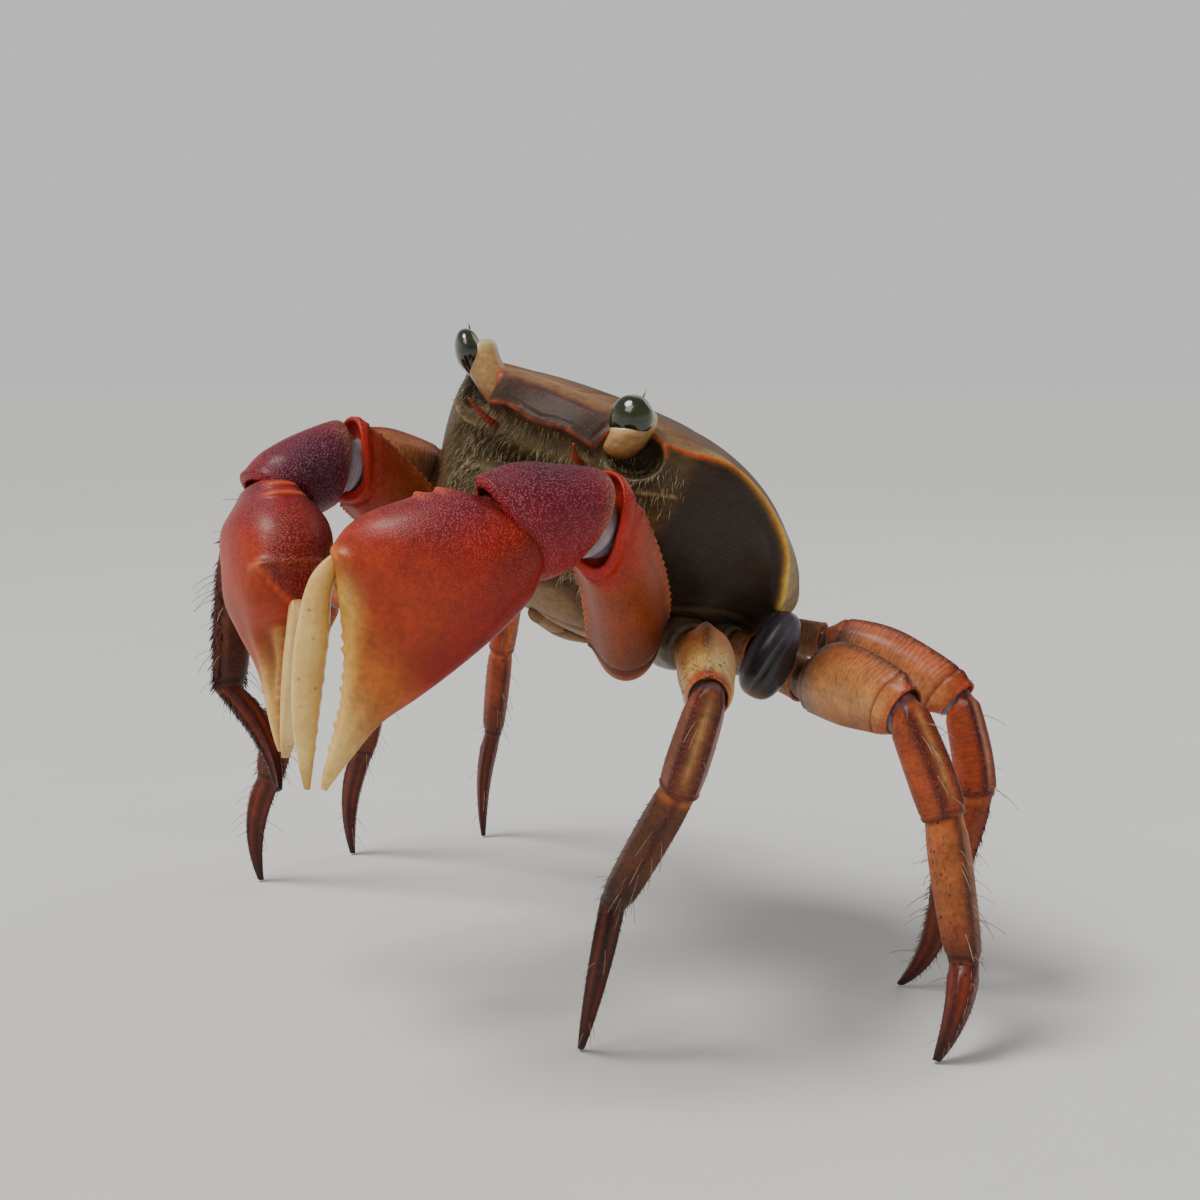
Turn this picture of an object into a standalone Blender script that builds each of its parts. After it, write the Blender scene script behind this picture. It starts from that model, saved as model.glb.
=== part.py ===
"""Red-clawed land crab, life size, in a tall standing pose.

Metres, +Z up. The crab faces -Y and its left side is at +X. The floor is at
z = 0 and the origin lies under the middle of the whole crab.
The body is drawn in its own frame (x to its left, y to its back, z up) and
then pitched, rolled and lifted. Each limb is a chain of articles drawn in the
standing frame: a length, a heading and a rise for every article.
"""
import math
import random

import bmesh
import bpy
from mathutils import Matrix, Vector

MM = 0.001
GAP = 0.3 * MM            # left between pieces that touch

# Where the body stands and how it leans
BODY_CENTRE = Vector((6.5, 15.1, 58.6)) * MM
BODY_PITCH = math.radians(19.3)     # front raised
BODY_ROLL = math.radians(17.9)      # left side lowered

# The shell, in the body's frame: place along the body, height of the crown,
# half width, height of the widest line, half width and height of the lower edge
SHELL_ROWS = (
    (-19.2, 5.5, 17.0, 3.0, 13.0, -14.0),
    (-16.0, 6.5, 21.0, 3.0, 16.0, -13.6),
    (-11.0, 7.3, 24.2, 1.2, 17.8, -12.9),
    (-5.0, 7.9, 25.6, -1.6, 19.0, -12.1),
    (1.0, 7.6, 25.2, -4.0, 19.0, -11.2),
    (7.0, 6.0, 22.4, -5.6, 17.6, -10.4),
    (12.0, 3.6, 18.0, -6.4, 15.0, -9.7),
    (16.0, 0.4, 13.0, -6.6, 11.6, -9.1),
    (18.2, -2.6, 9.6, -6.2, 8.6, -8.8),
)
SHELL_STATIONS = 19
DOME_SHARES = (0.0, 0.24, 0.46, 0.66, 0.82, 0.93)   # of the half width
DOME_POWER = 2.6
WALL_SHARES = (0.0, 0.25, 0.55, 0.82)               # down the side wall
WALL_SWELL = 0.9 * MM

# Brow over the eye sockets: place, half width, low and high edge
BROW_ROWS = (
    (-18.0, 17.2, -4.6, 5.6),
    (-20.2, 16.9, -4.4, 5.1),
    (-21.6, 14.8, -3.9, 4.7),
    (-22.7, 12.0, -3.3, 4.3),
)

# Deflexed front plate: outline seen from the side, and half widths
FRONT_HALF_WIDTH = 9.3 * MM
FRONT_PROFILE = ((-18.5, 5.4), (-21.0, 5.2), (-23.2, 4.5), (-23.9, 3.4),
                 (-25.0, 0.9), (-25.2, 0.1), (-24.6, -0.4), (-22.0, -0.8), (-18.5, -1.2))
FRONT_STEPS = 7

# Eyes
ORBIT_CENTRE = Vector((13.3, -22.4, 0.4)) * MM
ORBIT_RADII = Vector((3.9, 3.6, 3.6)) * MM
EYE_ROOT = Vector((11.6, -21.5, 0.9)) * MM
EYE_LENGTH = 5.0 * MM
STALK_RADIUS = 2.3 * MM
CORNEA_RADII = (2.1 * MM, 2.3 * MM, 2.5 * MM)
EYE_LEAN = {"left": (-0.25, -0.15, 1.0), "right": (-0.98, -0.25, 1.0)}

# Floor of the body under the shell: place, half width, low edge
THORAX_ROWS = (
    (-17.5, 8.0, -17.0),
    (-13.0, 13.0, -19.6),
    (-6.0, 16.2, -20.4),
    (1.0, 16.8, -19.4),
    (7.0, 15.2, -17.6),
    (12.0, 11.4, -15.2),
    (15.6, 6.5, -12.8),
)
SHELL_FLOOR_AT = -6.0 * MM          # where the shell's underside is measured
SHELL_FLOOR_Z = -12.2 * MM
SHELL_FLOOR_SLOPE = 0.14

# Tail flap folded under the thorax: place and half width
TAIL_ROWS = ((-9.0, 1.5), (-5.0, 2.6), (0.5, 3.6), (5.5, 4.6), (10.0, 5.6), (14.0, 6.0), (17.4, 6.0))
TAIL_THICK = 1.8 * MM
TAIL_CLEARANCE = 0.5 * MM
TAIL_RISE = 0.9             # behind the thorax

# Mouth doors: height, inner depth, outer depth, half width
MOUTH_ROWS = (
    (-15.4, -20.6, 6.2),
    (-13.2, -21.6, 8.0),
    (-9.5, -22.3, 9.2),
    (-6.6, -22.4, 9.4),
    (-4.9, -21.6, 8.4),
)
MOUTH_BACK = -19.5 * MM

ANTENNA_ROOT = Vector((6.4, -22.4, -2.3)) * MM
ANTENNA_STEPS = ((2.2, 0.25), (4.0, 0.75), (6.0, 1.5))
ANTENNA_RADIUS = 0.55 * MM

# Article sizes of a walking leg of scale 1: half depth and half thickness
MERUS = (4.25 * MM, 3.0 * MM)
CARPUS = (2.75 * MM, 2.45 * MM)
PROPODUS = (2.55 * MM, 2.15 * MM)
DACTYL = (1.75 * MM, 1.45 * MM)
BASE = (2.9 * MM, 2.7 * MM)

# Shapes along an article: place, share of the half depth, of the half thickness
MERUS_SHAPE = ((0.0, 0.62, 0.72), (0.14, 0.86, 0.92), (0.4, 1.0, 1.0), (0.7, 0.97, 0.97), (1.0, 0.78, 0.9))
CARPUS_SHAPE = ((0.0, 0.82, 0.86), (0.3, 0.94, 0.95), (0.7, 1.0, 1.0), (1.0, 0.92, 0.94))
PROPODUS_SHAPE = ((0.0, 0.92, 0.95), (0.3, 1.0, 1.0), (0.7, 0.92, 0.95), (1.0, 0.78, 0.82))
DACTYL_SHAPE = ((0.0, 0.95, 1.0), (0.2, 1.0, 1.0), (0.45, 0.84, 0.86), (0.7, 0.62, 0.64),
                (0.88, 0.42, 0.44), (1.0, 0.26, 0.28))
BASE_SHAPE = ((0.0, 0.95, 0.95), (0.45, 1.0, 1.0), (1.0, 0.9, 0.9))
DACTYL_BOW = 0.05
CLAW_BOW = 0.03
MERUS_BOW = 0.04

# Legs: root in the body's frame (mm), scale, then length (mm), heading and
# rise (degrees) of each article. A length of None runs down to the floor.
LEGS = {
    "left_leg_1": ((17.0, -5.6, -15.5), 0.96,
                   ((5.6, -18, -18), (21.3, -57, -2), (10.6, -177, -71), (15.2, -172, -60), (None, -146, -78))),
    "left_leg_3": ((18.5, 6.8, -12.8), 1.0,
                   ((8.9, 1, -25), (21.0, -31, 0), (12.1, 5, -67), (15.7, -21, -77), (None, -99, -62))),
    "left_leg_4": ((15.5, 12.2, -11.2), 0.84,
                   ((8.7, 21, -4), (19.4, -4, -16), (11.2, -28, -71), (13.8, -150, -74), (None, -168, -66))),
    "right_leg_1": ((-17.0, -5.6, -15.5), 0.96,
                    ((8.8, 179, 51), (19.0, -101, 9), (15.0, -120, -46), (16.1, -63, -76), (14.5, -11, -46))),
    "right_leg_2": ((-18.5, 0.6, -14.2), 1.0,
                    ((7.0, 167, -9), (22.0, -164, -20), (12.6, -164, -60), (17.0, -170, -75), (None, -180, -82))),
    "right_leg_3": ((-18.5, 6.8, -12.8), 0.98,
                    ((8.1, 154, -8), (21.0, 176, -20), (12.2, 176, -62), (16.0, 178, -76), (None, -176, -82))),
    "right_leg_4": ((-15.5, 12.2, -11.2), 0.84,
                    ((10.3, 134, -5), (19.5, 152, -22), (11.4, 152, -66), (14.0, 158, -78), (None, 172, -82))),
}

# Lost left leg, growing again as a bud
BUD_ROOT = Vector((18.5, 0.6, -14.2)) * MM
BUD_STUB = (5.6, -4, -4)
BUD_RADII = (3.0 * MM, 2.9 * MM, 5.3 * MM)
BUD_CENTRE = Vector((26.3, 0.2, -12.4)) * MM

# Claw limbs: root, then length, heading and rise of base, merus and carpus
CLAW_LIMBS = {
    "left": ((14.8, -12.2, -16.5), ((5.5, -58, -19), (21.0, -70, 50), (10.5, -115, -5))),
    "right": ((-14.8, -12.2, -16.5), ((6.8, -57, -30), (19.8, -105, 45), (10.4, -112, -24))),
}
CLAW_BASE = (3.3 * MM, 3.3 * MM)
CLAW_MERUS = (4.7 * MM, 4.2 * MM)
CLAW_CARPUS = (5.7 * MM, 5.0 * MM)
CLAW_MERUS_SHAPE = ((0.0, 0.8, 0.8), (0.2, 1.0, 1.0), (0.5, 1.04, 1.0), (0.8, 1.0, 0.96), (1.0, 0.9, 0.88))
CLAW_CARPUS_SHAPE = ((0.0, 0.66, 0.8), (0.3, 0.9, 0.98), (0.65, 1.04, 1.0), (1.0, 1.0, 0.86))

# Claws: axis and the side of the moving finger, as heading and rise
CLAW_AXES = {
    "left": ((-127.4, -56.4), (-149.3, 31.9), 1.0),
    "right": ((-39.6, -72.7), (-27.3, 12.0), 0.92),
}
# Palm with the fixed finger (mm): along the axis, low edge, high edge, half thickness
PALM_ROWS = (
    (-1.8, -3.6, 4.4, 2.4),
    (0.2, -5.4, 6.6, 4.0),
    (3.5, -6.2, 9.8, 5.2),
    (7.0, -5.9, 12.3, 5.5),
    (10.4, -5.0, 12.8, 5.0),
    (13.2, -4.1, 10.9, 4.3),
    (16.0, -3.1, 8.6, 3.6),
    (19.0, -1.9, 6.3, 3.0),
    (23.0, -0.2, 4.1, 2.3),
    (27.0, 0.4, 2.7, 1.6),
    (30.0, 0.7, 1.8, 0.9),
    (31.4, 0.8, 1.2, 0.4),
)
# Moving finger (mm): along the axis, its middle line, half width, half thickness
FINGER_ROWS = (
    (9.6, 10.4, 1.3, 1.5),
    (11.6, 11.5, 1.7, 1.9),
    (14.5, 11.5, 1.6, 1.9),
    (19.2, 9.7, 1.45, 1.75),
    (23.6, 7.7, 1.3, 1.55),
    (27.4, 5.5, 1.05, 1.25),
    (30.4, 3.5, 0.7, 0.85),
    (32.2, 2.2, 0.3, 0.4),
)

# Teeth along the biting edges (mm): place along the claw, height, radius
PALM_TEETH = ((17.2, 0.7, 0.8), (19.6, 1.0, 0.9), (22.2, 0.8, 0.75), (24.6, 1.0, 0.7), (27.0, 0.6, 0.55))
FINGER_TEETH = ((18.4, 0.7, 0.75), (20.9, 0.9, 0.8), (23.4, 0.8, 0.7), (25.8, 0.8, 0.6), (28.4, 0.5, 0.5))

# Dark spines in two rows along each toe
TOE_SPINES = 6                      # in a row
TOE_SPINE_REACH = (0.16, 0.82)      # share of the toe's length
TOE_SPINE_HEIGHT = 0.6 * MM
TOE_SPINE_RADIUS = 0.26 * MM
TOE_SPINE_SLANT = 0.45 * MM
SPIKE_TIP = 0.2                     # share of a spine's root radius
SEED = 11

COLOURS = {
    "shell": (0.24, 0.13, 0.07),
    "belly": (0.45, 0.34, 0.22),
    "stalk": (0.62, 0.47, 0.25),
    "cornea": (0.02, 0.03, 0.02),
    "claw": (0.55, 0.08, 0.03),
    "wrist": (0.24, 0.02, 0.04),
    "finger": (0.75, 0.62, 0.40),
    "leg": (0.50, 0.19, 0.05),
    "bud": (0.08, 0.07, 0.10),
}


# Scene, materials and meshes

def start_scene():
    for obj in list(bpy.data.objects):
        bpy.data.objects.remove(obj)
    crab = bpy.data.collections.new("land_crab")
    cutters = bpy.data.collections.new("cutters")
    bpy.context.scene.collection.children.link(crab)
    bpy.context.scene.collection.children.link(cutters)
    return crab, cutters


CRAB, CUTTERS = start_scene()
RANDOM = random.Random(SEED)
BODY = (Matrix.Translation(BODY_CENTRE)
        @ Matrix.Rotation(-BODY_PITCH, 4, "X")
        @ Matrix.Rotation(BODY_ROLL, 4, "Y"))


def paint(obj, colour, roughness=0.4):
    material = bpy.data.materials.new(obj.name + "_finish")
    material.use_nodes = True
    shader = material.node_tree.nodes["Principled BSDF"]
    shader.inputs["Base Color"].default_value = (*COLOURS[colour], 1.0)
    shader.inputs["Roughness"].default_value = roughness
    shader.inputs["Metallic"].default_value = 0.0
    obj.data.materials.clear()
    obj.data.materials.append(material)


def add_object(name, bm, collection=None):
    mesh = bpy.data.meshes.new(name)
    bmesh.ops.recalc_face_normals(bm, faces=bm.faces)
    bm.to_mesh(mesh)
    bm.free()
    obj = bpy.data.objects.new(name, mesh)
    (collection or CRAB).objects.link(obj)
    mesh.shade_smooth()
    mesh.set_sharp_from_angle(angle=math.radians(40))
    return obj


def loft(name, rings, collection=None):
    """Join rings of equal count into one closed body with flat ends."""
    bm = bmesh.new()
    rows = [[bm.verts.new(point) for point in ring] for ring in rings]
    for low, high in zip(rows, rows[1:]):
        for k in range(len(low)):
            after = (k + 1) % len(low)
            bm.faces.new((low[k], low[after], high[after], high[k]))
    bm.faces.new(rows[0])
    bm.faces.new(rows[-1])
    return add_object(name, bm, collection)


def ellipsoid(name, radii, frame, collection=None, segments=14, rings=9):
    bm = bmesh.new()
    bmesh.ops.create_uvsphere(bm, u_segments=segments, v_segments=rings, radius=1.0)
    bmesh.ops.transform(bm, matrix=frame @ Matrix.Diagonal((*radii, 1.0)), verts=bm.verts)
    return add_object(name, bm, collection)


def spike(root, tip, radius, sides=5):
    """Tapered spine or tooth, to be joined to the piece that it grows from."""
    along = tip - root
    bm = bmesh.new()
    bmesh.ops.create_cone(bm, cap_ends=True, segments=sides, radius1=radius, radius2=radius * SPIKE_TIP,
                          depth=along.length)
    place = Matrix.Translation((root + tip) / 2) @ along.to_track_quat("Z", "Y").to_matrix().to_4x4()
    bmesh.ops.transform(bm, matrix=place, verts=bm.verts)
    return add_object("spike", bm, CUTTERS)


def trim(obj, point, normal):
    """Cut by a plane, drop the side the normal points to, and close the cut."""
    bm = bmesh.new()
    bm.from_mesh(obj.data)
    geometry = bm.verts[:] + bm.edges[:] + bm.faces[:]
    bmesh.ops.bisect_plane(bm, geom=geometry, plane_co=point, plane_no=normal, clear_outer=True)
    rim = [edge for edge in bm.edges if edge.is_boundary]
    bmesh.ops.holes_fill(bm, edges=rim, sides=0)
    bmesh.ops.recalc_face_normals(bm, faces=bm.faces)
    bm.to_mesh(obj.data)
    bm.free()


def keep_largest(mesh):
    """Drop all but the largest closed surface of a mesh."""
    bm = bmesh.new()
    bm.from_mesh(mesh)
    waiting = set(bm.verts)
    groups = []
    while waiting:
        seed = waiting.pop()
        group = {seed}
        edge_of = [seed]
        while edge_of:
            vertex = edge_of.pop()
            for edge in vertex.link_edges:
                other = edge.other_vert(vertex)
                if other in waiting:
                    waiting.remove(other)
                    group.add(other)
                    edge_of.append(other)
        groups.append(group)
    groups.sort(key=len)
    for group in groups[:-1]:
        bmesh.ops.delete(bm, geom=list(group), context="VERTS")
    bm.to_mesh(mesh)
    bm.free()


def combine(obj, others, operation):
    """Boolean with a collection of closed pieces, applied; the pieces go."""
    hand = bpy.data.collections.new("operands")
    bpy.context.scene.collection.children.link(hand)
    for other in others:
        hand.objects.link(other)
    boolean = obj.modifiers.new("join", "BOOLEAN")
    boolean.operation = operation
    boolean.solver = "EXACT"
    boolean.operand_type = "COLLECTION"
    boolean.collection = hand
    evaluated = obj.evaluated_get(bpy.context.evaluated_depsgraph_get())
    mesh = bpy.data.meshes.new_from_object(evaluated)
    obj.modifiers.clear()
    obj.data = mesh
    for other in list(hand.objects):
        bpy.data.objects.remove(other)
    bpy.data.collections.remove(hand)
    keep_largest(mesh)
    mesh.set_sharp_from_angle(angle=math.radians(40))


# Curves and directions

def smooth_row(rows, place):
    """Values of a table at a place, by a smooth curve through its rows."""
    last = len(rows) - 2
    index = 0
    while index < last and place > rows[index + 1][0]:
        index += 1
    before = rows[max(index - 1, 0)]
    low, high = rows[index], rows[index + 1]
    after = rows[min(index + 2, len(rows) - 1)]
    step = high[0] - low[0]
    t = (place - low[0]) / step
    values = []
    for k in range(1, len(low)):
        slope_low = (high[k] - before[k]) / (high[0] - before[0]) * step
        slope_high = (after[k] - low[k]) / (after[0] - low[0]) * step
        values.append((2 * t**3 - 3 * t**2 + 1) * low[k] + (t**3 - 2 * t**2 + t) * slope_low
                      + (3 * t**2 - 2 * t**3) * high[k] + (t**3 - t**2) * slope_high)
    return values


def spread(low, high, count):
    return [low + (high - low) * k / (count - 1) for k in range(count)]


def direction(heading, rise):
    turn, lift = math.radians(heading), math.radians(rise)
    return Vector((math.cos(turn) * math.cos(lift), math.sin(turn) * math.cos(lift), math.sin(lift)))


def chain(root, steps):
    """Joint points of a limb; a step without a length ends on the floor."""
    points = [BODY @ (Vector(root) * MM)]
    for length, heading, rise in steps:
        ray = direction(heading, rise)
        reach = points[-1].z / -ray.z if length is None else length * MM
        points.append(points[-1] + ray * reach)
    return points


# Limb articles

def article_axes(start, end, side):
    """Directions along an article, to its upper edge and across it."""
    along = (end - start).normalized()
    deep = side.cross(along).normalized()
    if deep.z < 0 and abs(along.z) < 0.8:
        deep.negate()
    return along, deep, along.cross(deep).normalized()


def bowed(start, end, deep, bow, share):
    """Point on an article's middle line, which is bowed to its upper edge."""
    return start.lerp(end, share) + deep * (bow * (end - start).length * 4 * share * (1 - share))


def article(name, start, end, size, shape, side, bow=0.0, sides=10, grow=0.0, open_start=False,
            open_end=False, collection=None):
    """Tube of elliptical rings from joint to joint, with a rounded knuckle
    past each joint, unless that end is open."""
    length = (end - start).length
    deep, across = article_axes(start, end, side)[1:]
    half_deep, half_thick = size[0] + grow, size[1] + grow

    def ring(place, deep_share, thick_share):
        middle = bowed(start, end, deep, bow, place / length)
        points = []
        for k in range(sides):
            angle = 2 * math.pi * k / sides
            points.append(middle + across * (half_thick * thick_share * math.cos(angle))
                          + deep * (half_deep * deep_share * math.sin(angle)))
        return points

    rings = []
    first, last = shape[0], shape[-1]
    if not open_start:
        for back, share in ((0.66, 0.4), (0.42, 0.78)):
            rings.append(ring(-back * half_deep * first[1], first[1] * share, first[2] * share))
    else:
        rings.append(ring(-grow, first[1], first[2]))
    for place, deep_share, thick_share in shape:
        if open_start and place == 0.0:
            continue
        rings.append(ring(place * length, deep_share, thick_share))
    if not open_end:
        for ahead, share in ((0.42, 0.78), (0.66, 0.4)):
            rings.append(ring(length + ahead * half_deep * last[1], last[1] * share, last[2] * share))
    else:
        rings.append(ring(length + max(grow, 0.1 * MM), last[1], last[2]))
    return loft(name, rings, collection)


def mitre(pieces, points):
    """Part neighbouring articles by the plane that halves their bend."""
    for k in range(1, len(points) - 1):
        before = (points[k] - points[k - 1]).normalized()
        after = (points[k + 1] - points[k]).normalized()
        normal = (before + after).normalized()
        trim(pieces[k - 1], points[k] - normal * GAP / 2, normal)
        trim(pieces[k], points[k] + normal * GAP / 2, -normal)


def toe_spines(start, end, size, side):
    """Slanting spines along the upper and the lower edge of a toe."""
    along, deep = article_axes(start, end, side)[:2]
    spines = []
    for edge in (1, -1):
        for share in spread(*TOE_SPINE_REACH, TOE_SPINES):
            share += RANDOM.uniform(-0.02, 0.02)
            surface = size[0] * smooth_row(DACTYL_SHAPE, share)[0]
            height = TOE_SPINE_HEIGHT * RANDOM.uniform(0.8, 1.15)
            middle = bowed(start, end, deep, DACTYL_BOW, share)
            root = middle + deep * (edge * surface * 0.6)
            tip = middle + deep * (edge * (surface + height)) + along * TOE_SPINE_SLANT
            spines.append(spike(root, tip, TOE_SPINE_RADIUS))
    return spines


def leg(name, root, scale, steps, sockets):
    points = chain(root, steps)
    side = (points[2] - points[1]).cross(Vector((0, 0, 1))).normalized()
    sizes = [tuple(value * scale for value in size) for size in (BASE, MERUS, CARPUS, PROPODUS, DACTYL)]
    shapes = (BASE_SHAPE, MERUS_SHAPE, CARPUS_SHAPE, PROPODUS_SHAPE, DACTYL_SHAPE)
    bows = (0.0, MERUS_BOW, 0.0, 0.0, DACTYL_BOW)
    pieces = []
    for k, kind in enumerate(("base", "merus", "carpus", "propodus", "dactyl")):
        piece = article(name + "_" + kind, points[k], points[k + 1], sizes[k], shapes[k], side, bows[k],
                        12 if kind == "merus" else 10, open_start=(k == 0), open_end=(k == 4))
        paint(piece, "leg")
        pieces.append(piece)
    sockets.append((points[0], points[1], sizes[0], side))
    mitre(pieces, points)
    combine(pieces[4], toe_spines(points[4], points[5], sizes[4], side), "UNION")
    if steps[-1][0] is None:
        trim(pieces[4], Vector((0, 0, 0)), Vector((0, 0, -1)))
    return points


def claw_frame(side, origin):
    along_angles, up_angles, scale = CLAW_AXES[side]
    along = direction(*along_angles)
    up = direction(*up_angles)
    up = (up - along * up.dot(along)).normalized()
    out = along.cross(up)
    matrix = Matrix((along, up, out)).transposed().to_4x4()
    return Matrix.Translation(origin) @ matrix @ Matrix.Scale(scale * MM, 4)


def squared_ring(frame, place, low, high, half_thick, sides=16, power=0.85):
    """Ring with fuller corners than an ellipse, in a claw's own frame."""
    points = []
    for k in range(sides):
        angle = 2 * math.pi * k / sides
        c, s = math.cos(angle), math.sin(angle)
        thick = math.copysign(abs(c) ** power, c) * half_thick
        height = (low + high) / 2 + math.copysign(abs(s) ** power, s) * (high - low) / 2
        points.append(frame @ Vector((place, height, thick)))
    return points


def finger_edge(place):
    """Height of the moving finger's biting edge, in the claw's frame."""
    middle, half_width = smooth_row(FINGER_ROWS, place)[:2]
    return middle - half_width


def finger_rings(frame, grow=0.0, sides=10):
    rings = []
    for k, (place, middle, half_width, half_thick) in enumerate(FINGER_ROWS):
        before = FINGER_ROWS[max(k - 1, 0)]
        after = FINGER_ROWS[min(k + 1, len(FINGER_ROWS) - 1)]
        along = Vector((after[0] - before[0], after[1] - before[1], 0)).normalized()
        across = Vector((-along.y, along.x, 0))
        centre = Vector((place, middle, 0)) - along * (grow if k == 0 else 0)
        ring = []
        for n in range(sides):
            angle = 2 * math.pi * n / sides
            ring.append(frame @ (centre + across * ((half_width + grow) * math.sin(angle))
                                 + Vector((0, 0, 1)) * ((half_thick + grow) * math.cos(angle))))
        rings.append(ring)
    return rings


def claw_teeth(frame, rows, edge, towards):
    """Teeth on a biting edge; edge gives its height at a place along the claw."""
    size = frame.to_scale().x
    teeth = []
    for place, height, radius in rows:
        level = edge(place)
        root = frame @ Vector((place, level - towards * radius, 0))
        tip = frame @ Vector((place, level + towards * height, 0))
        teeth.append(spike(root, tip, radius * size, 6))
    return teeth


def claw(side, sockets):
    root, steps = CLAW_LIMBS[side]
    points = chain(root, steps)
    name = side + "_claw_"
    axis = direction(*CLAW_AXES[side][0])
    frame = claw_frame(side, points[-1])
    up = (frame.to_3x3() @ Vector((0, 1, 0))).normalized()
    hinge = (points[2] - points[1]).cross(Vector((0, 0, 1))).normalized()
    scale = CLAW_AXES[side][2]
    base_size, merus_size, carpus_size = [tuple(value * scale for value in size)
                                          for size in (CLAW_BASE, CLAW_MERUS, CLAW_CARPUS)]
    base = article(name + "base", points[0], points[1], base_size, BASE_SHAPE, hinge, open_start=True)
    merus = article(name + "merus", points[1], points[2], merus_size, CLAW_MERUS_SHAPE, hinge,
                    CLAW_BOW, 14)
    wrist_side = axis.cross(up).normalized()
    carpus = article(name + "carpus", points[2], points[3], carpus_size, CLAW_CARPUS_SHAPE, wrist_side,
                     0.0, 14)
    palm = loft(name + "palm", [squared_ring(frame, *row) for row in PALM_ROWS])
    mitre([base, merus, carpus, palm], points + [points[-1] + axis])
    combine(palm, [loft("finger_socket", finger_rings(frame, GAP / MM), CUTTERS)], "DIFFERENCE")
    combine(palm, claw_teeth(frame, PALM_TEETH, lambda place: smooth_row(PALM_ROWS, place)[1], 1), "UNION")
    finger = loft(name + "dactyl", finger_rings(frame))
    combine(finger, claw_teeth(frame, FINGER_TEETH, finger_edge, -1), "UNION")
    for piece, colour in ((base, "leg"), (merus, "claw"), (carpus, "wrist"), (palm, "claw"), (finger, "finger")):
        paint(piece, colour)
    sockets.append((points[0], points[1], base_size, hinge))
    return points, hinge, merus_size


# Body

def shell_floor(place):
    return SHELL_FLOOR_Z + SHELL_FLOOR_SLOPE * (place - SHELL_FLOOR_AT)


def shell_ring(place):
    """Half section from the crown over the side to the middle of the
    underside, mirrored to a full ring, in the body's frame."""
    crown, wide, wide_z, low_x, low_z = [value * MM for value in smooth_row(SHELL_ROWS, place / MM)]
    half = []
    for share in DOME_SHARES:
        half.append((wide * share, wide_z + (crown - wide_z) * (1 - share ** DOME_POWER) ** 0.9))
    for share in WALL_SHARES:
        swell = WALL_SWELL * math.sin(math.pi * share)
        half.append((wide + (low_x - wide) * share ** 1.4 + swell, wide_z + (low_z - wide_z) * share))
    half.append((low_x, low_z))
    ring = half + [(0.0, low_z)]
    ring += [(-x, z) for x, z in reversed(half[1:])]
    return [BODY @ Vector((x, place, z)) for x, z in ring]


def brow_ring(place, half_width, low, high, sides=20):
    points = []
    for k in range(sides):
        angle = 2 * math.pi * k / sides
        c, s = math.cos(angle), math.sin(angle)
        x = math.copysign(abs(c) ** 0.55, c) * half_width
        z = (low + high) / 2 + math.copysign(abs(s) ** 0.7, s) * (high - low) / 2
        points.append(BODY @ (Vector((x, place, z)) * MM))
    return points


def front_plate():
    rings = []
    for k in range(FRONT_STEPS):
        t = -1 + 2 * k / (FRONT_STEPS - 1)
        sag = 0.25 * MM * math.cos(2 * math.pi * t)
        ring = []
        for n, (y, z) in enumerate(FRONT_PROFILE):
            narrow = 1.0 - 0.06 * max(0.0, (3.4 - z) / 3.4) if y < -22 else 1.0
            ring.append(BODY @ Vector((FRONT_HALF_WIDTH * t * narrow, y * MM + 1.2 * MM * t * t,
                                       z * MM - (sag if 4 <= n <= 6 else 0))))
        rings.append(ring)
    return loft("front_plate", rings, CUTTERS)


def eye_frame(side):
    sign = 1 if side == "left" else -1
    lean = Vector(EYE_LEAN[side]).normalized()
    across = Vector((sign, 0, 0))
    across = (across - lean * across.dot(lean)).normalized()
    turn = Matrix((across, lean.cross(across), lean)).transposed().to_4x4()
    root = Vector((sign * EYE_ROOT.x, EYE_ROOT.y, EYE_ROOT.z))
    return BODY @ Matrix.Translation(root) @ turn


def stalk(name, side, grow=0.0, collection=None):
    frame = eye_frame(side)
    rings = []
    for height, share in ((-0.5, 0.72), (0.08, 1.0), (0.4, 0.98), (0.72, 0.88), (0.98, 0.7)):
        radius = STALK_RADIUS * share + grow
        level = EYE_LENGTH * height - (grow if height < 0 else 0)
        rings.append([frame @ Vector((radius * math.cos(2 * math.pi * k / 12),
                                      radius * math.sin(2 * math.pi * k / 12), level)) for k in range(12)])
    return loft(name, rings, collection)


def cornea(name, side, grow=0.0, collection=None):
    frame = eye_frame(side) @ Matrix.Translation((0.25 * MM, 0, EYE_LENGTH * 0.98))
    radii = [value + grow for value in CORNEA_RADII]
    return ellipsoid(name, radii, frame, collection, 12, 8)


def orbit_cutter(sign):
    centre = Vector((sign * ORBIT_CENTRE.x, ORBIT_CENTRE.y, ORBIT_CENTRE.z))
    return ellipsoid("orbit", ORBIT_RADII, BODY @ Matrix.Translation(centre), CUTTERS, 16, 10)


def antenna_points(sign, grow=0.0):
    root = Vector((sign * ANTENNA_ROOT.x, ANTENNA_ROOT.y, ANTENNA_ROOT.z))
    points = [root + Vector((0, (1.2 * MM + grow), 0))]
    for ahead, lift in ANTENNA_STEPS:
        points.append(root + Vector((sign * 0.35 * ahead, -0.8 * ahead, lift)) * MM)
    return points


def antenna(name, sign, grow=0.0, collection=None):
    rings = []
    for k, point in enumerate(antenna_points(sign, grow)):
        radius = ANTENNA_RADIUS * (1.0, 1.0, 0.75, 0.4)[k] + grow
        rings.append([BODY @ (point + Vector((radius * math.cos(2 * math.pi * n / 8), 0,
                                              radius * math.sin(2 * math.pi * n / 8)))) for n in range(8)])
    return loft(name, rings, collection)


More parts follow.
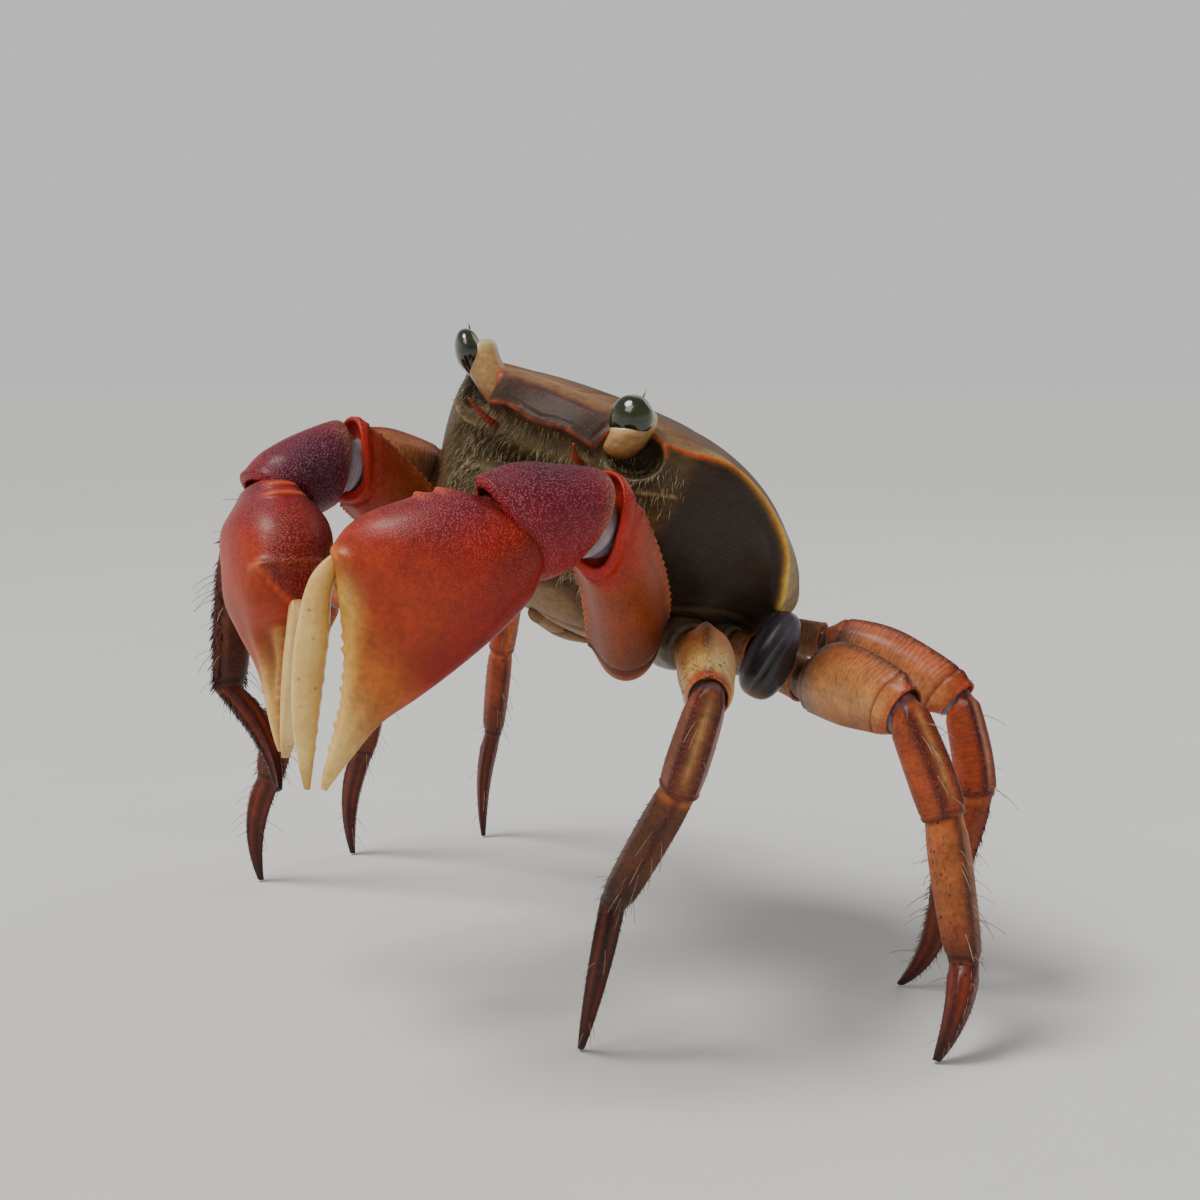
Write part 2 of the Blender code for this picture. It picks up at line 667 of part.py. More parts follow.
def mouth_door(sign):
    rings = []
    for height, front, half_width in MOUTH_ROWS:
        z, front, back = height * MM, front * MM, MOUTH_BACK
        inner, outer = 0.35 * MM, half_width * MM
        depth = back - front
        outline = ((inner, back), (outer * 0.8, back), (outer, back - depth * 0.3),
                   (outer * 0.93, back - depth * 0.75), (outer * 0.6, front), (inner + 0.3 * MM, front))
        rings.append([BODY @ Vector((sign * x, y, z)) for x, y in outline])
    return loft(("left" if sign > 0 else "right") + "_mouth_door", rings)


def thorax():
    rings = []
    for place in spread(THORAX_ROWS[0][0], THORAX_ROWS[-1][0], 12):
        half_width, low = smooth_row(THORAX_ROWS, place)
        top = shell_floor(place * MM) - GAP
        low, half_width = low * MM, half_width * MM
        half = [(0.0, top), (half_width * 0.9, top), (half_width, top - (top - low) * 0.18),
                (half_width * 0.97, top - (top - low) * 0.5), (half_width * 0.8, top - (top - low) * 0.82),
                (half_width * 0.5, low + 0.02 * (top - low)), (0.0, low)]
        ring = half + [(-x, z) for x, z in reversed(half[1:-1])]
        rings.append([BODY @ Vector((x, place * MM, z)) for x, z in ring])
    return loft("thorax", rings)


def tail():
    rings = []
    for place in spread(TAIL_ROWS[0][0], TAIL_ROWS[-1][0], 9):
        half_width = smooth_row(TAIL_ROWS, place)[0] * MM
        if place < THORAX_ROWS[-1][0]:
            top = smooth_row(THORAX_ROWS, place)[1] * MM - TAIL_CLEARANCE
        else:
            end, low = THORAX_ROWS[-1][0], THORAX_ROWS[-1][2]
            top = (low + (place - end) * TAIL_RISE) * MM - TAIL_CLEARANCE
            top = min(top, shell_floor(place * MM) - GAP)
        outline = ((half_width, top), (half_width, top - TAIL_THICK * 0.5), (half_width * 0.7, top - TAIL_THICK),
                   (-half_width * 0.7, top - TAIL_THICK), (-half_width, top - TAIL_THICK * 0.5),
                   (-half_width, top))
        rings.append([BODY @ Vector((x, place * MM, z)) for x, z in outline])
    return loft("tail_flap", rings)


def bud(sockets):
    stub_end = chain(BUD_ROOT / MM, (BUD_STUB,))
    side = direction(BUD_STUB[1] + 90, 0)
    size = (2.3 * MM, 2.3 * MM)
    stub = article("left_leg_2_base", stub_end[0], stub_end[1], size, BASE_SHAPE, side, open_start=True)
    frame = BODY @ Matrix.Translation(BUD_CENTRE)
    grown = ellipsoid("bud_space", [value + GAP for value in BUD_RADII], frame, CUTTERS)
    combine(stub, [grown], "DIFFERENCE")
    sockets.append((stub_end[0], stub_end[1], size, side))
    limb_bud = ellipsoid("left_leg_2_bud", BUD_RADII, frame)
    paint(stub, "leg")
    paint(limb_bud, "bud", 0.2)


def build():
    sockets = []
    for name, (root, scale, steps) in LEGS.items():
        leg(name, root, scale, steps, sockets)
    claw_joints = [claw(side, sockets) for side in ("left", "right")]
    bud(sockets)

    shell = loft("carapace", [shell_ring(place * MM)
                              for place in spread(SHELL_ROWS[0][0], SHELL_ROWS[-1][0], SHELL_STATIONS)])
    brow = loft("brow", [brow_ring(*row) for row in BROW_ROWS], CUTTERS)
    combine(shell, [brow, front_plate()], "UNION")
    body_floor = thorax()
    cutters = [orbit_cutter(1), orbit_cutter(-1)]
    for side, sign in (("left", 1), ("right", -1)):
        cutters.append(stalk("stalk_space", side, GAP, CUTTERS))
        cutters.append(cornea("cornea_space", side, GAP, CUTTERS))
        cutters.append(antenna("antenna_space", sign, GAP, CUTTERS))
    combine(shell, cutters, "DIFFERENCE")
    for target in (shell, body_floor):
        cutters = [article("root_space", start, end, size, BASE_SHAPE, side, grow=GAP, open_start=True,
                           collection=CUTTERS) for start, end, size, side in sockets]
        for points, hinge, size in claw_joints:
            cutters.append(article("merus_space", points[1], points[2], size, CLAW_MERUS_SHAPE, hinge,
                                   CLAW_BOW, 14, grow=2 * GAP, collection=CUTTERS))
        combine(target, cutters, "DIFFERENCE")
    paint(shell, "shell", 0.35)
    paint(body_floor, "belly", 0.5)
    paint(tail(), "belly", 0.5)

    for side, sign in (("left", 1), ("right", -1)):
        eye_stalk = stalk(side + "_eyestalk", side)
        combine(eye_stalk, [cornea("cornea_space", side, GAP, CUTTERS)], "DIFFERENCE")
        paint(eye_stalk, "stalk")
        paint(cornea(side + "_cornea", side), "cornea", 0.08)
        paint(antenna(side + "_antenna", sign), "leg")
        paint(mouth_door(sign), "belly", 0.6)


build()
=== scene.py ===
"""Looks of a life-size red-clawed land crab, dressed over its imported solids.

The body is drawn in its own frame: mm, x to its left, y to its back, z up.
Plates and articles are rings of points that carry their paint, the strength
of their texture and the lie of their grain.
"""

import math
from types import SimpleNamespace

import bpy
import numpy as np
from mathutils import Matrix, Vector


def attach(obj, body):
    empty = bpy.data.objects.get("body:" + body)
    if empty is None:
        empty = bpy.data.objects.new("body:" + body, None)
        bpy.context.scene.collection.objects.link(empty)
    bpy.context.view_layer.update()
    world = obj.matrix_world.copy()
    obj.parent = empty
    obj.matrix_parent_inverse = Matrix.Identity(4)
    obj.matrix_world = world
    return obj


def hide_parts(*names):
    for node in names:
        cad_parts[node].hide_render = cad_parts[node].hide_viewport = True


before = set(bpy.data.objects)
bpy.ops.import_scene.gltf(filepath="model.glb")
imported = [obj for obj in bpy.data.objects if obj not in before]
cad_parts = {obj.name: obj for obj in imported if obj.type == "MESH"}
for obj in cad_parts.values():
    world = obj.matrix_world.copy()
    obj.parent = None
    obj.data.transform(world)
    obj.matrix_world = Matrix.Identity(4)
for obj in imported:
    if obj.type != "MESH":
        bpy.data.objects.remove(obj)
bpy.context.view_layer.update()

MM = 0.001
RANDOM = np.random.default_rng(23)

# The body's place and lean, and the tables of its plates, as in the solids.
# Shell: y, the crown's height, the edge's half width and height, the floor's half width and height.
BODY_CENTRE = Vector((6.5, 15.1, 58.6)) * MM
BODY_PITCH = math.radians(19.3)
BODY_ROLL = math.radians(17.9)
SHELL_ROWS = (
    (-19.2, 5.5, 17.0, 3.0, 13.0, -14.0), (-16.0, 6.5, 21.0, 3.0, 16.0, -13.6),
    (-11.0, 7.3, 24.2, 1.2, 17.8, -12.9), (-5.0, 7.9, 25.6, -1.6, 19.0, -12.1),
    (1.0, 7.6, 25.2, -4.0, 19.0, -11.2), (7.0, 6.0, 22.4, -5.6, 17.6, -10.4),
    (12.0, 3.6, 18.0, -6.4, 15.0, -9.7), (16.0, 0.4, 13.0, -6.6, 11.6, -9.1),
    (18.2, -2.6, 9.6, -6.2, 8.6, -8.8))
SHELL_VOXEL = 0.30
# Brow: y, half width, low and high. Front: y and z from the brow's top round to its underside.
BROW_ROWS = ((-18.0, 17.2, -4.6, 5.6), (-20.2, 16.9, -4.4, 5.1), (-21.6, 14.8, -3.9, 4.7),
             (-22.7, 12.0, -3.3, 4.3))
FRONT_HALF_WIDTH = 9.3
FRONT_PROFILE = ((-18.5, 5.4), (-21.0, 5.2), (-23.2, 4.5), (-23.9, 3.4), (-25.0, 0.9), (-25.2, 0.1),
                 (-24.6, -0.4), (-22.0, -0.8), (-18.5, -1.2))
# Yellow line round the side of the shell: y, x, z
MARGIN_ROWS = (
    (-20.3, 14.9, 3.2), (-18.9, 16.2, 3.8), (-17.2, 18.3, 3.9), (-15.0, 20.5, 4.2), (-13.0, 22.3, 3.85),
    (-11.0, 23.6, 3.0), (-9.0, 24.6, 1.6), (-7.0, 25.1, -0.4), (-5.0, 25.3, -2.6), (-3.0, 25.3, -5.0),
    (-1.0, 24.8, -6.8), (2.0, 24.1, -7.6), (9.0, 20.0, -7.2))
# Eye sockets, with the crest and the fine loop below each, then the eyes
ORBIT_CENTRE = np.array((12.7, -22.3, 1.2))
ORBIT_RADII = np.array((3.5, 3.0, 2.8))
EYE_CREST = ((9.0, -21.8, -2.6), (12.2, -20.7, -2.3), (15.0, -20.0, -2.1), (17.8, -18.8, -1.3))
EYE_LOOP = ((7.4, -22.7, -1.8), (10.4, -22.3, -2.1), (11.4, -20.0, -1.5), (13.2, -19.1, -0.7))
EYE_ROOT = (11.6, -21.5, 0.9)
EYE_AROUND = 56
EYE_STALK_SHAPE = ((0.0, 0.03, 0.09, 0.2, 0.4, 0.7, 1.0), (0.3, 0.9, 1.5, 2.05, 2.42, 2.5, 2.5))
CUP_DOME = np.radians((18, 36, 54, 70, 84))
CORNEA_HEIGHT = 3.5
# Each eye: its side, the lean of its stalk, the way the cornea faces, how far the root is shifted out and
# raised, the cup on the stalk, and how far the cornea stands ahead of it, with its radii
EYES = {
    "left": {"sign": 1, "lean": (-0.25, -0.15, 1.0), "facing": (-0.12, -0.99, 0.0), "shift": 0.0,
             "raised": 0.0, "cup_height": 3.45, "cup_slant": 1.30, "cup_width": 1.0,
             "cornea_out": 0.55, "cornea_radii": (2.1, 2.7, 3.0)},
    "right": {"sign": -1, "lean": (-0.85, -0.25, 1.0), "facing": (-0.84, -0.54, 0.0), "shift": 0.7,
              "raised": 1.5, "cup_height": 3.4, "cup_slant": 0.35, "cup_width": 0.84,
              "cornea_out": 1.3, "cornea_radii": (1.65, 2.6, 3.05)},
}
# Breast: y, half width, low. Tail: y, half width. Mouth doors: z, front, outer edge.
THORAX_ROWS = ((-17.5, 8.0, -17.0), (-13.0, 13.0, -19.6), (-6.0, 16.2, -20.4), (1.0, 16.8, -19.4),
               (7.0, 15.2, -17.6), (12.0, 11.4, -15.2), (15.6, 6.5, -12.8))
THORAX_SEAMS = (-12.5, -8.0, -3.0, 2.0, 7.0, 11.5)
TAIL_ROWS = ((-9.0, 1.5), (-5.0, 2.6), (0.5, 3.6), (5.5, 4.6), (10.0, 5.6), (14.0, 6.0), (17.4, 6.0))
TAIL_JOINTS = (-5.6, -1.8, 2.0, 5.8, 9.4, 12.8, 15.6)
MOUTH_ROWS = ((-15.4, -20.6, 6.2), (-13.2, -21.6, 8.0), (-9.5, -22.3, 9.2), (-6.6, -22.4, 9.4),
              (-4.9, -21.6, 8.4))
ANTENNA_ROOT = (6.4, -22.4, -2.3)
ANTENNA_RADII = (0.42, 0.42, 0.32, 0.15)

# Articles of a leg of scale 1: half depth and half thickness, then their shapes
SIZES = {"base": (2.9, 2.7), "merus": (4.25, 3.0), "carpus": (2.75, 2.45), "propodus": (2.55, 2.15),
         "dactyl": (1.75, 1.45)}
SHAPES = {
    "base": ((0.0, 0.95, 0.95), (0.45, 1.0, 1.0), (1.0, 0.9, 0.9)),
    "merus": ((0.0, 0.62, 0.72), (0.14, 0.86, 0.92), (0.4, 1.0, 1.0), (0.7, 0.97, 0.97), (1.0, 0.78, 0.9)),
    "carpus": ((0.0, 0.82, 0.86), (0.3, 0.94, 0.95), (0.7, 1.0, 1.0), (1.0, 0.92, 0.94)),
    "propodus": ((0.0, 0.92, 0.95), (0.3, 1.0, 1.0), (0.7, 0.92, 0.95), (1.0, 0.78, 0.82)),
    "dactyl": ((0.0, 0.95, 1.0), (0.2, 1.0, 1.0), (0.45, 0.84, 0.86), (0.7, 0.62, 0.64),
               (0.88, 0.42, 0.44), (1.0, 0.26, 0.28)),
    "claw_merus": ((0.0, 0.8, 0.8), (0.2, 1.0, 1.0), (0.5, 1.04, 1.0), (0.8, 1.0, 0.96), (1.0, 0.9, 0.88)),
    "claw_carpus": ((0.0, 0.66, 0.8), (0.3, 0.9, 0.98), (0.65, 1.04, 1.0), (1.0, 1.0, 0.86)),
}
BOWS = {"merus": 0.045, "carpus": 0.03, "dactyl": 0.10}
KINDS = ("base", "merus", "carpus", "propodus", "dactyl")
# Walking legs: root on the body, scale, then each article's length, heading and lift; the toes without
# a length end on the floor. A negative heading turns to the crab's front.
LEGS = {
    "left_leg_1": ((17.0, -5.6, -15.5), 0.96, (
        (5.6, -18, -18), (21.3, -57, -2), (10.6, -177, -71), (15.2, -172, -60), (None, -146, -78))),
    "left_leg_3": ((18.5, 6.8, -12.8), 1.0, (
        (8.9, 1, -25), (21.0, -31, 0), (12.1, 5, -67), (15.7, -21, -77), (None, -99, -62))),
    "left_leg_4": ((15.5, 12.2, -11.2), 0.84, (
        (8.7, 21, -4), (19.4, -4, -16), (11.2, -28, -71), (13.8, -150, -74), (None, -168, -66))),
    "right_leg_1": ((-17.0, -5.6, -15.5), 0.96, (
        (8.8, 179, 51), (19.0, -101, 9), (15.0, -120, -46), (16.1, -63, -76), (14.5, -11, -46))),
    "right_leg_2": ((-18.5, 0.6, -14.2), 1.0, (
        (7.0, 167, -9), (22.0, -164, -20), (12.6, -164, -60), (17.0, -170, -75), (None, -180, -82))),
    "right_leg_3": ((-18.5, 6.8, -12.8), 0.98, (
        (8.1, 154, -8), (21.0, 176, -20), (12.2, 176, -62), (16.0, 178, -76), (None, -176, -82))),
    "right_leg_4": ((-15.5, 12.2, -11.2), 0.84, (
        (10.3, 134, -5), (19.5, 152, -22), (11.4, 152, -66), (14.0, 158, -78), (None, 172, -82))),
}
# Stub and bud of the lost leg
BUD_ROOT = (18.5, 0.6, -14.2)
BUD_STUB = (5.6, -4, -4)
BUD_CENTRE = np.array((26.3, 0.2, -12.4))
BUD_RADII = (2.8, 2.7, 5.4)
BUD_FACE = -62
# Claw limbs as the legs; sizes of base, merus, carpus and wrist; headings and lifts of the palm's length
# and of its upper side, and its scale
CLAW_LIMBS = {
    "left": ((14.8, -12.2, -16.5), ((5.5, -58, -19), (21.0, -70, 50), (10.5, -115, -5))),
    "right": ((-14.8, -12.2, -16.5), ((6.8, -57, -30), (19.8, -105, 45), (10.4, -112, -24))),
}
CLAW_SIZES = ((3.3, 3.3), (4.7, 4.2), (5.7, 5.0), (6.2, 4.6))
CLAW_AXES = {
    "left": ((-127.4, -56.4), (-149.3, 31.9), 1.0),
    "right": ((-39.6, -72.7), (-27.3, 12.0), 0.92),
}
# Palm: place, low, high, half thickness. Finger: place, middle, half width, half thickness.
# Teeth: place, height, half width.
PALM_ROWS = (
    (-1.8, -3.6, 4.4, 2.4), (0.2, -5.4, 6.6, 4.0), (3.5, -6.2, 9.8, 5.2), (7.0, -5.9, 12.3, 5.5),
    (10.4, -5.0, 12.8, 5.0), (13.2, -4.1, 10.9, 4.3), (16.0, -3.1, 8.6, 3.6), (19.0, -1.9, 6.3, 3.0),
    (23.0, -0.2, 4.1, 2.3), (27.0, 0.4, 2.7, 1.6), (30.0, 0.7, 1.8, 0.9), (31.4, 0.8, 1.2, 0.4))
FINGER_LOOK = (
    (9.6, 10.8, 0.5, 0.9), (11.6, 11.8, 0.85, 1.3), (14.5, 11.9, 1.25, 1.7), (19.2, 9.9, 1.65, 1.75),
    (23.6, 7.7, 1.55, 1.55), (27.4, 5.5, 1.2, 1.25), (30.4, 3.5, 0.7, 0.85), (32.2, 2.2, 0.3, 0.4))
PALM_TEETH = tuple((16.6 + 1.1 * k, 0.14 + 0.13 * (k * 7 % 3), 0.42) for k in range(11))
FINGER_TEETH = tuple((17.0 + 1.5 * k, 0.04 + 0.04 * (k * 5 % 3), 0.5) for k in range(9))
RIGHT_PALM_HIGH = ((9.0, 12.8), (12.0, 12.7), (15.0, 12.0), (16.4, 10.6), (17.6, 7.9), (19.0, 6.3))
# Bow of each claw's merus, and the depth of the notch on its elbow's open side
MERUS_BOW = {"left": (1.25, 0.87, 0.0), "right": (0.0, 0.4, 0.5)}
ELBOW_NOTCH = {"left": 3.2, "right": 1.6}


# Small sums and paints

PAINT_GAIN, PAINT_DEPTH = 1.25, 1.2


def shade(red, green, blue):
    """Paint as seen on a screen, 0 to 255, turned to light and made deeper."""
    seen = np.array((red, green, blue), float) / 255
    light = np.where(seen <= 0.04045, seen / 12.92, ((seen + 0.055) / 1.055) ** 2.4)
    return PAINT_GAIN * light ** PAINT_DEPTH


def bell(value, centre, width):
    return np.exp(-((value - centre) / width) ** 2)


def rise(value, low, high):
    share = np.clip((value - low) / (high - low), 0, 1)
    return share * share * (3 - 2 * share)


def ridge(angle, at, width):
    """Bell round a ring, angles in degrees."""
    away = (angle - at + 180) % 360 - 180
    return np.exp(-(away / width) ** 2)


def mix(low, high, share):
    return low + (high - low) * np.asarray(share)[..., None]


def all_over(shape, paint):
    return np.ones(tuple(shape) + (1,)) * paint


def feel(shape, granules=0.0, stripes=0.0, specks=0.0, shine=0.0):
    """Strength of the textures at each point, as the finishes read it."""
    return np.stack([np.broadcast_to(value, shape) for value in (granules, stripes, specks, shine)], -1)


def unit(vector):
    vector = np.asarray(vector, float)
    return vector / np.linalg.norm(vector, axis=-1, keepdims=True)


def smooth_row(rows, place):
    """Values of a table at a place, by a smooth curve through its rows."""
    last = len(rows) - 2
    index = 0
    while index < last and place > rows[index + 1][0]:
        index += 1
    before, low = rows[max(index - 1, 0)], rows[index]
    high, after = rows[index + 1], rows[min(index + 2, len(rows) - 1)]
    step = high[0] - low[0]
    t = (place - low[0]) / step
    values = []
    for k in range(1, len(low)):
        slope_low = (high[k] - before[k]) / (high[0] - before[0]) * step
        slope_high = (after[k] - low[k]) / (after[0] - low[0]) * step
        values.append((2 * t**3 - 3 * t**2 + 1) * low[k] + (t**3 - 2 * t**2 + t) * slope_low
                      + (3 * t**2 - 2 * t**3) * high[k] + (t**3 - t**2) * slope_high)
    return values


def smooth_rows(rows, places):
    return np.array([smooth_row(rows, place) for place in places])


def places_along(rows, count):
    """Even steps from a table's first row to its last."""
    return np.linspace(rows[0][0], rows[-1][0], count)


def round_angles(count):
    return np.arange(count) * 360 / count


def circle(count):
    """Cosines and sines of even steps round a ring."""
    turn = np.radians(round_angles(count))[None]
    return np.cos(turn), np.sin(turn)


def power(value, exponent):
    return np.sign(value) * np.abs(value) ** exponent


def direction(heading, lift):
    turn, lift = math.radians(heading), math.radians(lift)
    return np.array((math.cos(turn) * math.cos(lift), math.sin(turn) * math.cos(lift), math.sin(lift)))


# The body's frame

BODY_TURN = np.array(Matrix.Rotation(-BODY_PITCH, 3, "X") @ Matrix.Rotation(BODY_ROLL, 3, "Y"))
BODY_PLACE = np.array(BODY_CENTRE)


def on_body(points):
    return np.asarray(points, float) @ BODY_TURN.T * MM + BODY_PLACE


# Meshes with paint

def placed(name, data):
    """A new object in the scene."""
    piece = bpy.data.objects.new(name, data)
    bpy.context.scene.collection.objects.link(piece)
    return piece


def mesh_piece(name, points, faces, finish, marks):
    """Object with named marks on its points: colours have 4 values, lies 3."""
    mesh = bpy.data.meshes.new(name)
    mesh.from_pydata(points.tolist(), [], faces)
    for key, values in marks.items():
        kind, field = {4: ("FLOAT_COLOR", "color"), 3: ("FLOAT_VECTOR", "vector")}[values.shape[-1]]
        mark = mesh.attributes.new(key, kind, "POINT")
        mark.data.foreach_set(field, values.astype(np.float32).ravel())
    mesh.materials.append(finish)
    mesh.shade_smooth()
    mesh.update()
    return placed(name, mesh)


def with_alpha(tint):
    return np.concatenate([tint, np.ones(tint.shape[:-1] + (1,))], -1)


def ring_faces(rows, around):
    """Quads between rings of points, and fans to the two end points that follow them."""
    row = (np.arange(rows - 1) * around)[:, None]
    k = np.arange(around)
    after = (k + 1) % around
    quads = np.stack([row + k, row + after, row + around + after, row + around + k], -1).reshape(-1, 4)
    top, end = (rows - 1) * around, rows * around
    fans = np.concatenate([np.stack([after, k, np.full(around, end)], -1),
                           np.stack([top + k, top + after, np.full(around, end + 1)], -1)])
    return quads, fans


def skin(name, rings, tint, touch, lay, finish):
    """Closed piece from rings of points (rows, around, 3), faces outwards.
    touch is the strength of granules, stripes, specks and shine."""

    def flat(values):
        width = values.shape[-1]
        ends = np.stack([values[0].mean(0), values[-1].mean(0)])
        return np.concatenate([values.reshape(-1, width), ends])

    points = flat(rings)
    quads, fans = ring_faces(*rings.shape[:2])
    corners = points[np.concatenate([quads[:, :3], quads[:, [0, 2, 3]], fans])]
    if np.einsum("ij,ij->", corners[:, 0], np.cross(corners[:, 1], corners[:, 2])) < 0:
        quads, fans = quads[:, ::-1], fans[:, ::-1]
    return mesh_piece(name, points, quads.tolist() + fans.tolist(), finish,
                      {"tint": with_alpha(flat(tint)), "touch": flat(touch), "lay": flat(lay)})


def dress(piece, slot, *nodes):
    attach(piece, "root")
    if nodes:
        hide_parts(*nodes)
    return piece


# Finishes

# Painted shade for the gaps between granules
GRANULE_GAP_SHADE = (0.02, 0.004, 0.006, 1)
WRINKLE = (0.62, 0.40, 0.20, 1)
SPECK = (0.018, 0.006, 0.005, 1)
SOFT_DEPTH = (0.0016, 0.0006, 0.0003)


def feed(tree, node, sockets):
    """Inputs of a node: another node's socket is linked, anything else is its value."""
    for key, value in sockets.items():
        if isinstance(value, bpy.types.NodeSocket):
            tree.links.new(value, node.inputs[key])
        else:
            node.inputs[key].default_value = value


def add_node(tree, kind, sockets=None, **settings):
    node = tree.nodes.new(kind)
    for key, value in settings.items():
        setattr(node, key, value)
    feed(tree, node, sockets or {})
    return node


def put(tree, kind, sockets=None, **settings):
    return add_node(tree, "ShaderNode" + kind, sockets, **settings)


def sums(tree, operation, *values):
    sockets = dict(enumerate(values))
    return put(tree, "Math", sockets, operation=operation).outputs[0]


def blended(tree, share, low, high, kind="MIX"):
    made = put(tree, "Mix", {0: share, 6: low, 7: high}, data_type="RGBA", blend_type=kind)
    return made.outputs[2]


def spread(tree, value, low, high, to_low=0.0, to_high=1.0):
    return put(tree, "MapRange", {0: value, 1: low, 2: high, 3: to_low, 4: to_high}).outputs[0]


def new_finish(name):
    """A material, its tree and shader, and the place on the piece for its textures."""
    material = bpy.data.materials.new(name)
    material.use_nodes = True
    tree = material.node_tree
    return material, tree, tree.nodes["Principled BSDF"], put(tree, "TexCoord").outputs["Object"]


def painted(tree):
    return put(tree, "Attribute", attribute_name="tint").outputs["Color"]


def chitin(name, rough=0.34, grain_scale=2600, grain_pale=(0.85, 0.42, 0.34, 1), grain_height=0.00012,
           stripe_scale=1.0, coat=0.25, mottle=0.35, soft=0.0):
    """Shell-like finish: paint from the points, mottled, with granules,
    transverse wrinkles and dark specks where the points ask for them."""
    material, tree, shader, place = new_finish(name)
    marks = put(tree, "Attribute", attribute_name="touch")
    granules, stripes, specks = put(tree, "SeparateColor", {0: marks.outputs["Color"]}).outputs
    shine = marks.outputs["Alpha"]
    lay = put(tree, "Attribute", attribute_name="lay").outputs["Vector"]

    def times(value, factor):
        return sums(tree, "MULTIPLY", value, factor)

    cloud = put(tree, "TexNoise", {"Vector": place, "Scale": 260.0, "Detail": 6.0, "Roughness": 0.62})
    fine = put(tree, "TexNoise", {"Vector": place, "Scale": 1500.0, "Detail": 5.0, "Roughness": 0.6})
    cloud_grey = spread_colour(tree, cloud.outputs[0], 0.30, 0.70)
    fine_grey = spread_colour(tree, fine.outputs[0], 0.32, 0.68)
    colour = blended(tree, mottle, painted(tree), cloud_grey, "OVERLAY")
    colour = blended(tree, mottle * 0.8, colour, fine_grey, "OVERLAY")

    # granules with pale tops, and painted shade in the gaps between them
    cells = put(tree, "TexVoronoi", {"Vector": place, "Scale": float(grain_scale), "Randomness": 0.9})
    dome = spread(tree, cells.outputs["Distance"], 0.62, 0.05)
    top = times(sums(tree, "POWER", dome, 2.4), granules)
    gap_shade = times(spread(tree, dome, 0.55, 0.05), granules)
    colour = blended(tree, times(top, 0.42), colour, grain_pale)
    # painted shade: the gaps between granules are darkened
    colour = blended(tree, times(gap_shade, 0.45), colour, GRANULE_GAP_SHADE)

    # wrinkles across the article
    wave = put(tree, "TexWave", {"Vector": lay, "Scale": stripe_scale, "Distortion": 7.5, "Detail": 3.0,
                                 "Detail Scale": 1.6, "Detail Roughness": 0.6}, bands_direction="X")
    stripe = times(wave.outputs["Fac"], stripes)
    colour = blended(tree, times(stripe, 0.28), colour, WRINKLE)

    # dark specks at the roots of the smallest hairs
    spots = put(tree, "TexVoronoi", {"Vector": place, "Scale": 620.0, "Randomness": 1.0})
    spot = times(spread(tree, spots.outputs["Distance"], 0.17, 0.07), specks)
    colour = blended(tree, times(spot, 0.75), colour, SPECK)

    smoother = sums(tree, "SUBTRACT", rough, times(shine, 0.16))
    bump = put(tree, "Bump", {"Height": times(dome, granules), "Distance": grain_height, "Strength": 0.9})
    bump = put(tree, "Bump", {"Height": stripe, "Distance": 0.00005, "Strength": 0.8,
                              "Normal": bump.outputs[0]})
    bump = put(tree, "Bump", {"Height": fine.outputs[0], "Distance": 0.00007, "Strength": 0.55,
                              "Normal": bump.outputs[0]})
    feed(tree, shader, {"Base Color": colour, "Normal": bump.outputs[0], "Coat Weight": coat,
                        "Roughness": sums(tree, "ADD", smoother, times(fine.outputs[0], 0.16)),
                        "Specular IOR Level": 0.27, "Coat Roughness": 0.22})
    if soft:
        feed(tree, shader, {"Subsurface Weight": soft, "Subsurface Radius": SOFT_DEPTH,
                            "Subsurface Scale": 1.0})
    return material


def spread_colour(tree, value, low, high):
    """Grey from dark to pale, to be laid over a paint."""
    grey = spread(tree, value, low, high, 0.12, 0.88)
    return put(tree, "CombineColor", {0: grey, 1: grey, 2: grey}).outputs[0]


def strand(name, root, tip, rough=0.45):
    """Finish of bristles and hair, mottled along their length."""
    material, tree, shader, place = new_finish(name)
    cloud = put(tree, "TexNoise", {"Vector": place, "Scale": 900.0, "Detail": 3.0})
    colour = blended(tree, spread(tree, cloud.outputs[0], 0.35, 0.65), (*root, 1), (*tip, 1))
    feed(tree, shader, {"Base Color": colour, "Roughness": rough})
    return material


def eye_glass(name):
    """Finish of the corneas, glossy over fine facets."""
    material, tree, shader, place = new_finish(name)
    cloud = put(tree, "TexNoise", {"Vector": place, "Scale": 700.0, "Detail": 4.0})
    cloud_grey = spread_colour(tree, cloud.outputs[0], 0.3, 0.7)
    facets = put(tree, "TexVoronoi", {"Vector": place, "Scale": 9000.0, "Randomness": 0.25})
    bump = put(tree, "Bump", {"Height": facets.outputs["Distance"], "Distance": 0.00002, "Strength": 0.25})
    feed(tree, shader, {"Base Color": blended(tree, 0.5, painted(tree), cloud_grey, "OVERLAY"),
                        "Normal": bump.outputs[0], "Roughness": 0.12, "Coat Weight": 0.8,
                        "Coat Roughness": 0.05})
    return material


SHELL_FINISH = chitin("shell_finish", rough=0.38, grain_scale=4200, grain_pale=(0.30, 0.25, 0.18, 1),
                      coat=0.08, grain_height=0.00005, stripe_scale=0.9, mottle=0.40)
BELLY_FINISH = chitin("belly_finish", rough=0.46, coat=0.1)
MOUTH_FINISH = chitin("mouth_finish", rough=0.50, coat=0.05, mottle=0.5)
CLAW_FINISH = chitin("claw_finish", rough=0.35, grain_scale=4200, grain_pale=(0.50, 0.22, 0.16, 1),
                     coat=0.12, grain_height=0.00007, mottle=0.30, soft=0.04)
WRIST_FINISH = chitin("wrist_finish", rough=0.38, grain_scale=4000, grain_pale=(0.62, 0.36, 0.50, 1),
                      coat=0.12, grain_height=0.00012, mottle=0.30)
FINGER_FINISH = chitin("finger_finish", rough=0.30, grain_scale=3600, mottle=0.22, soft=0.06)
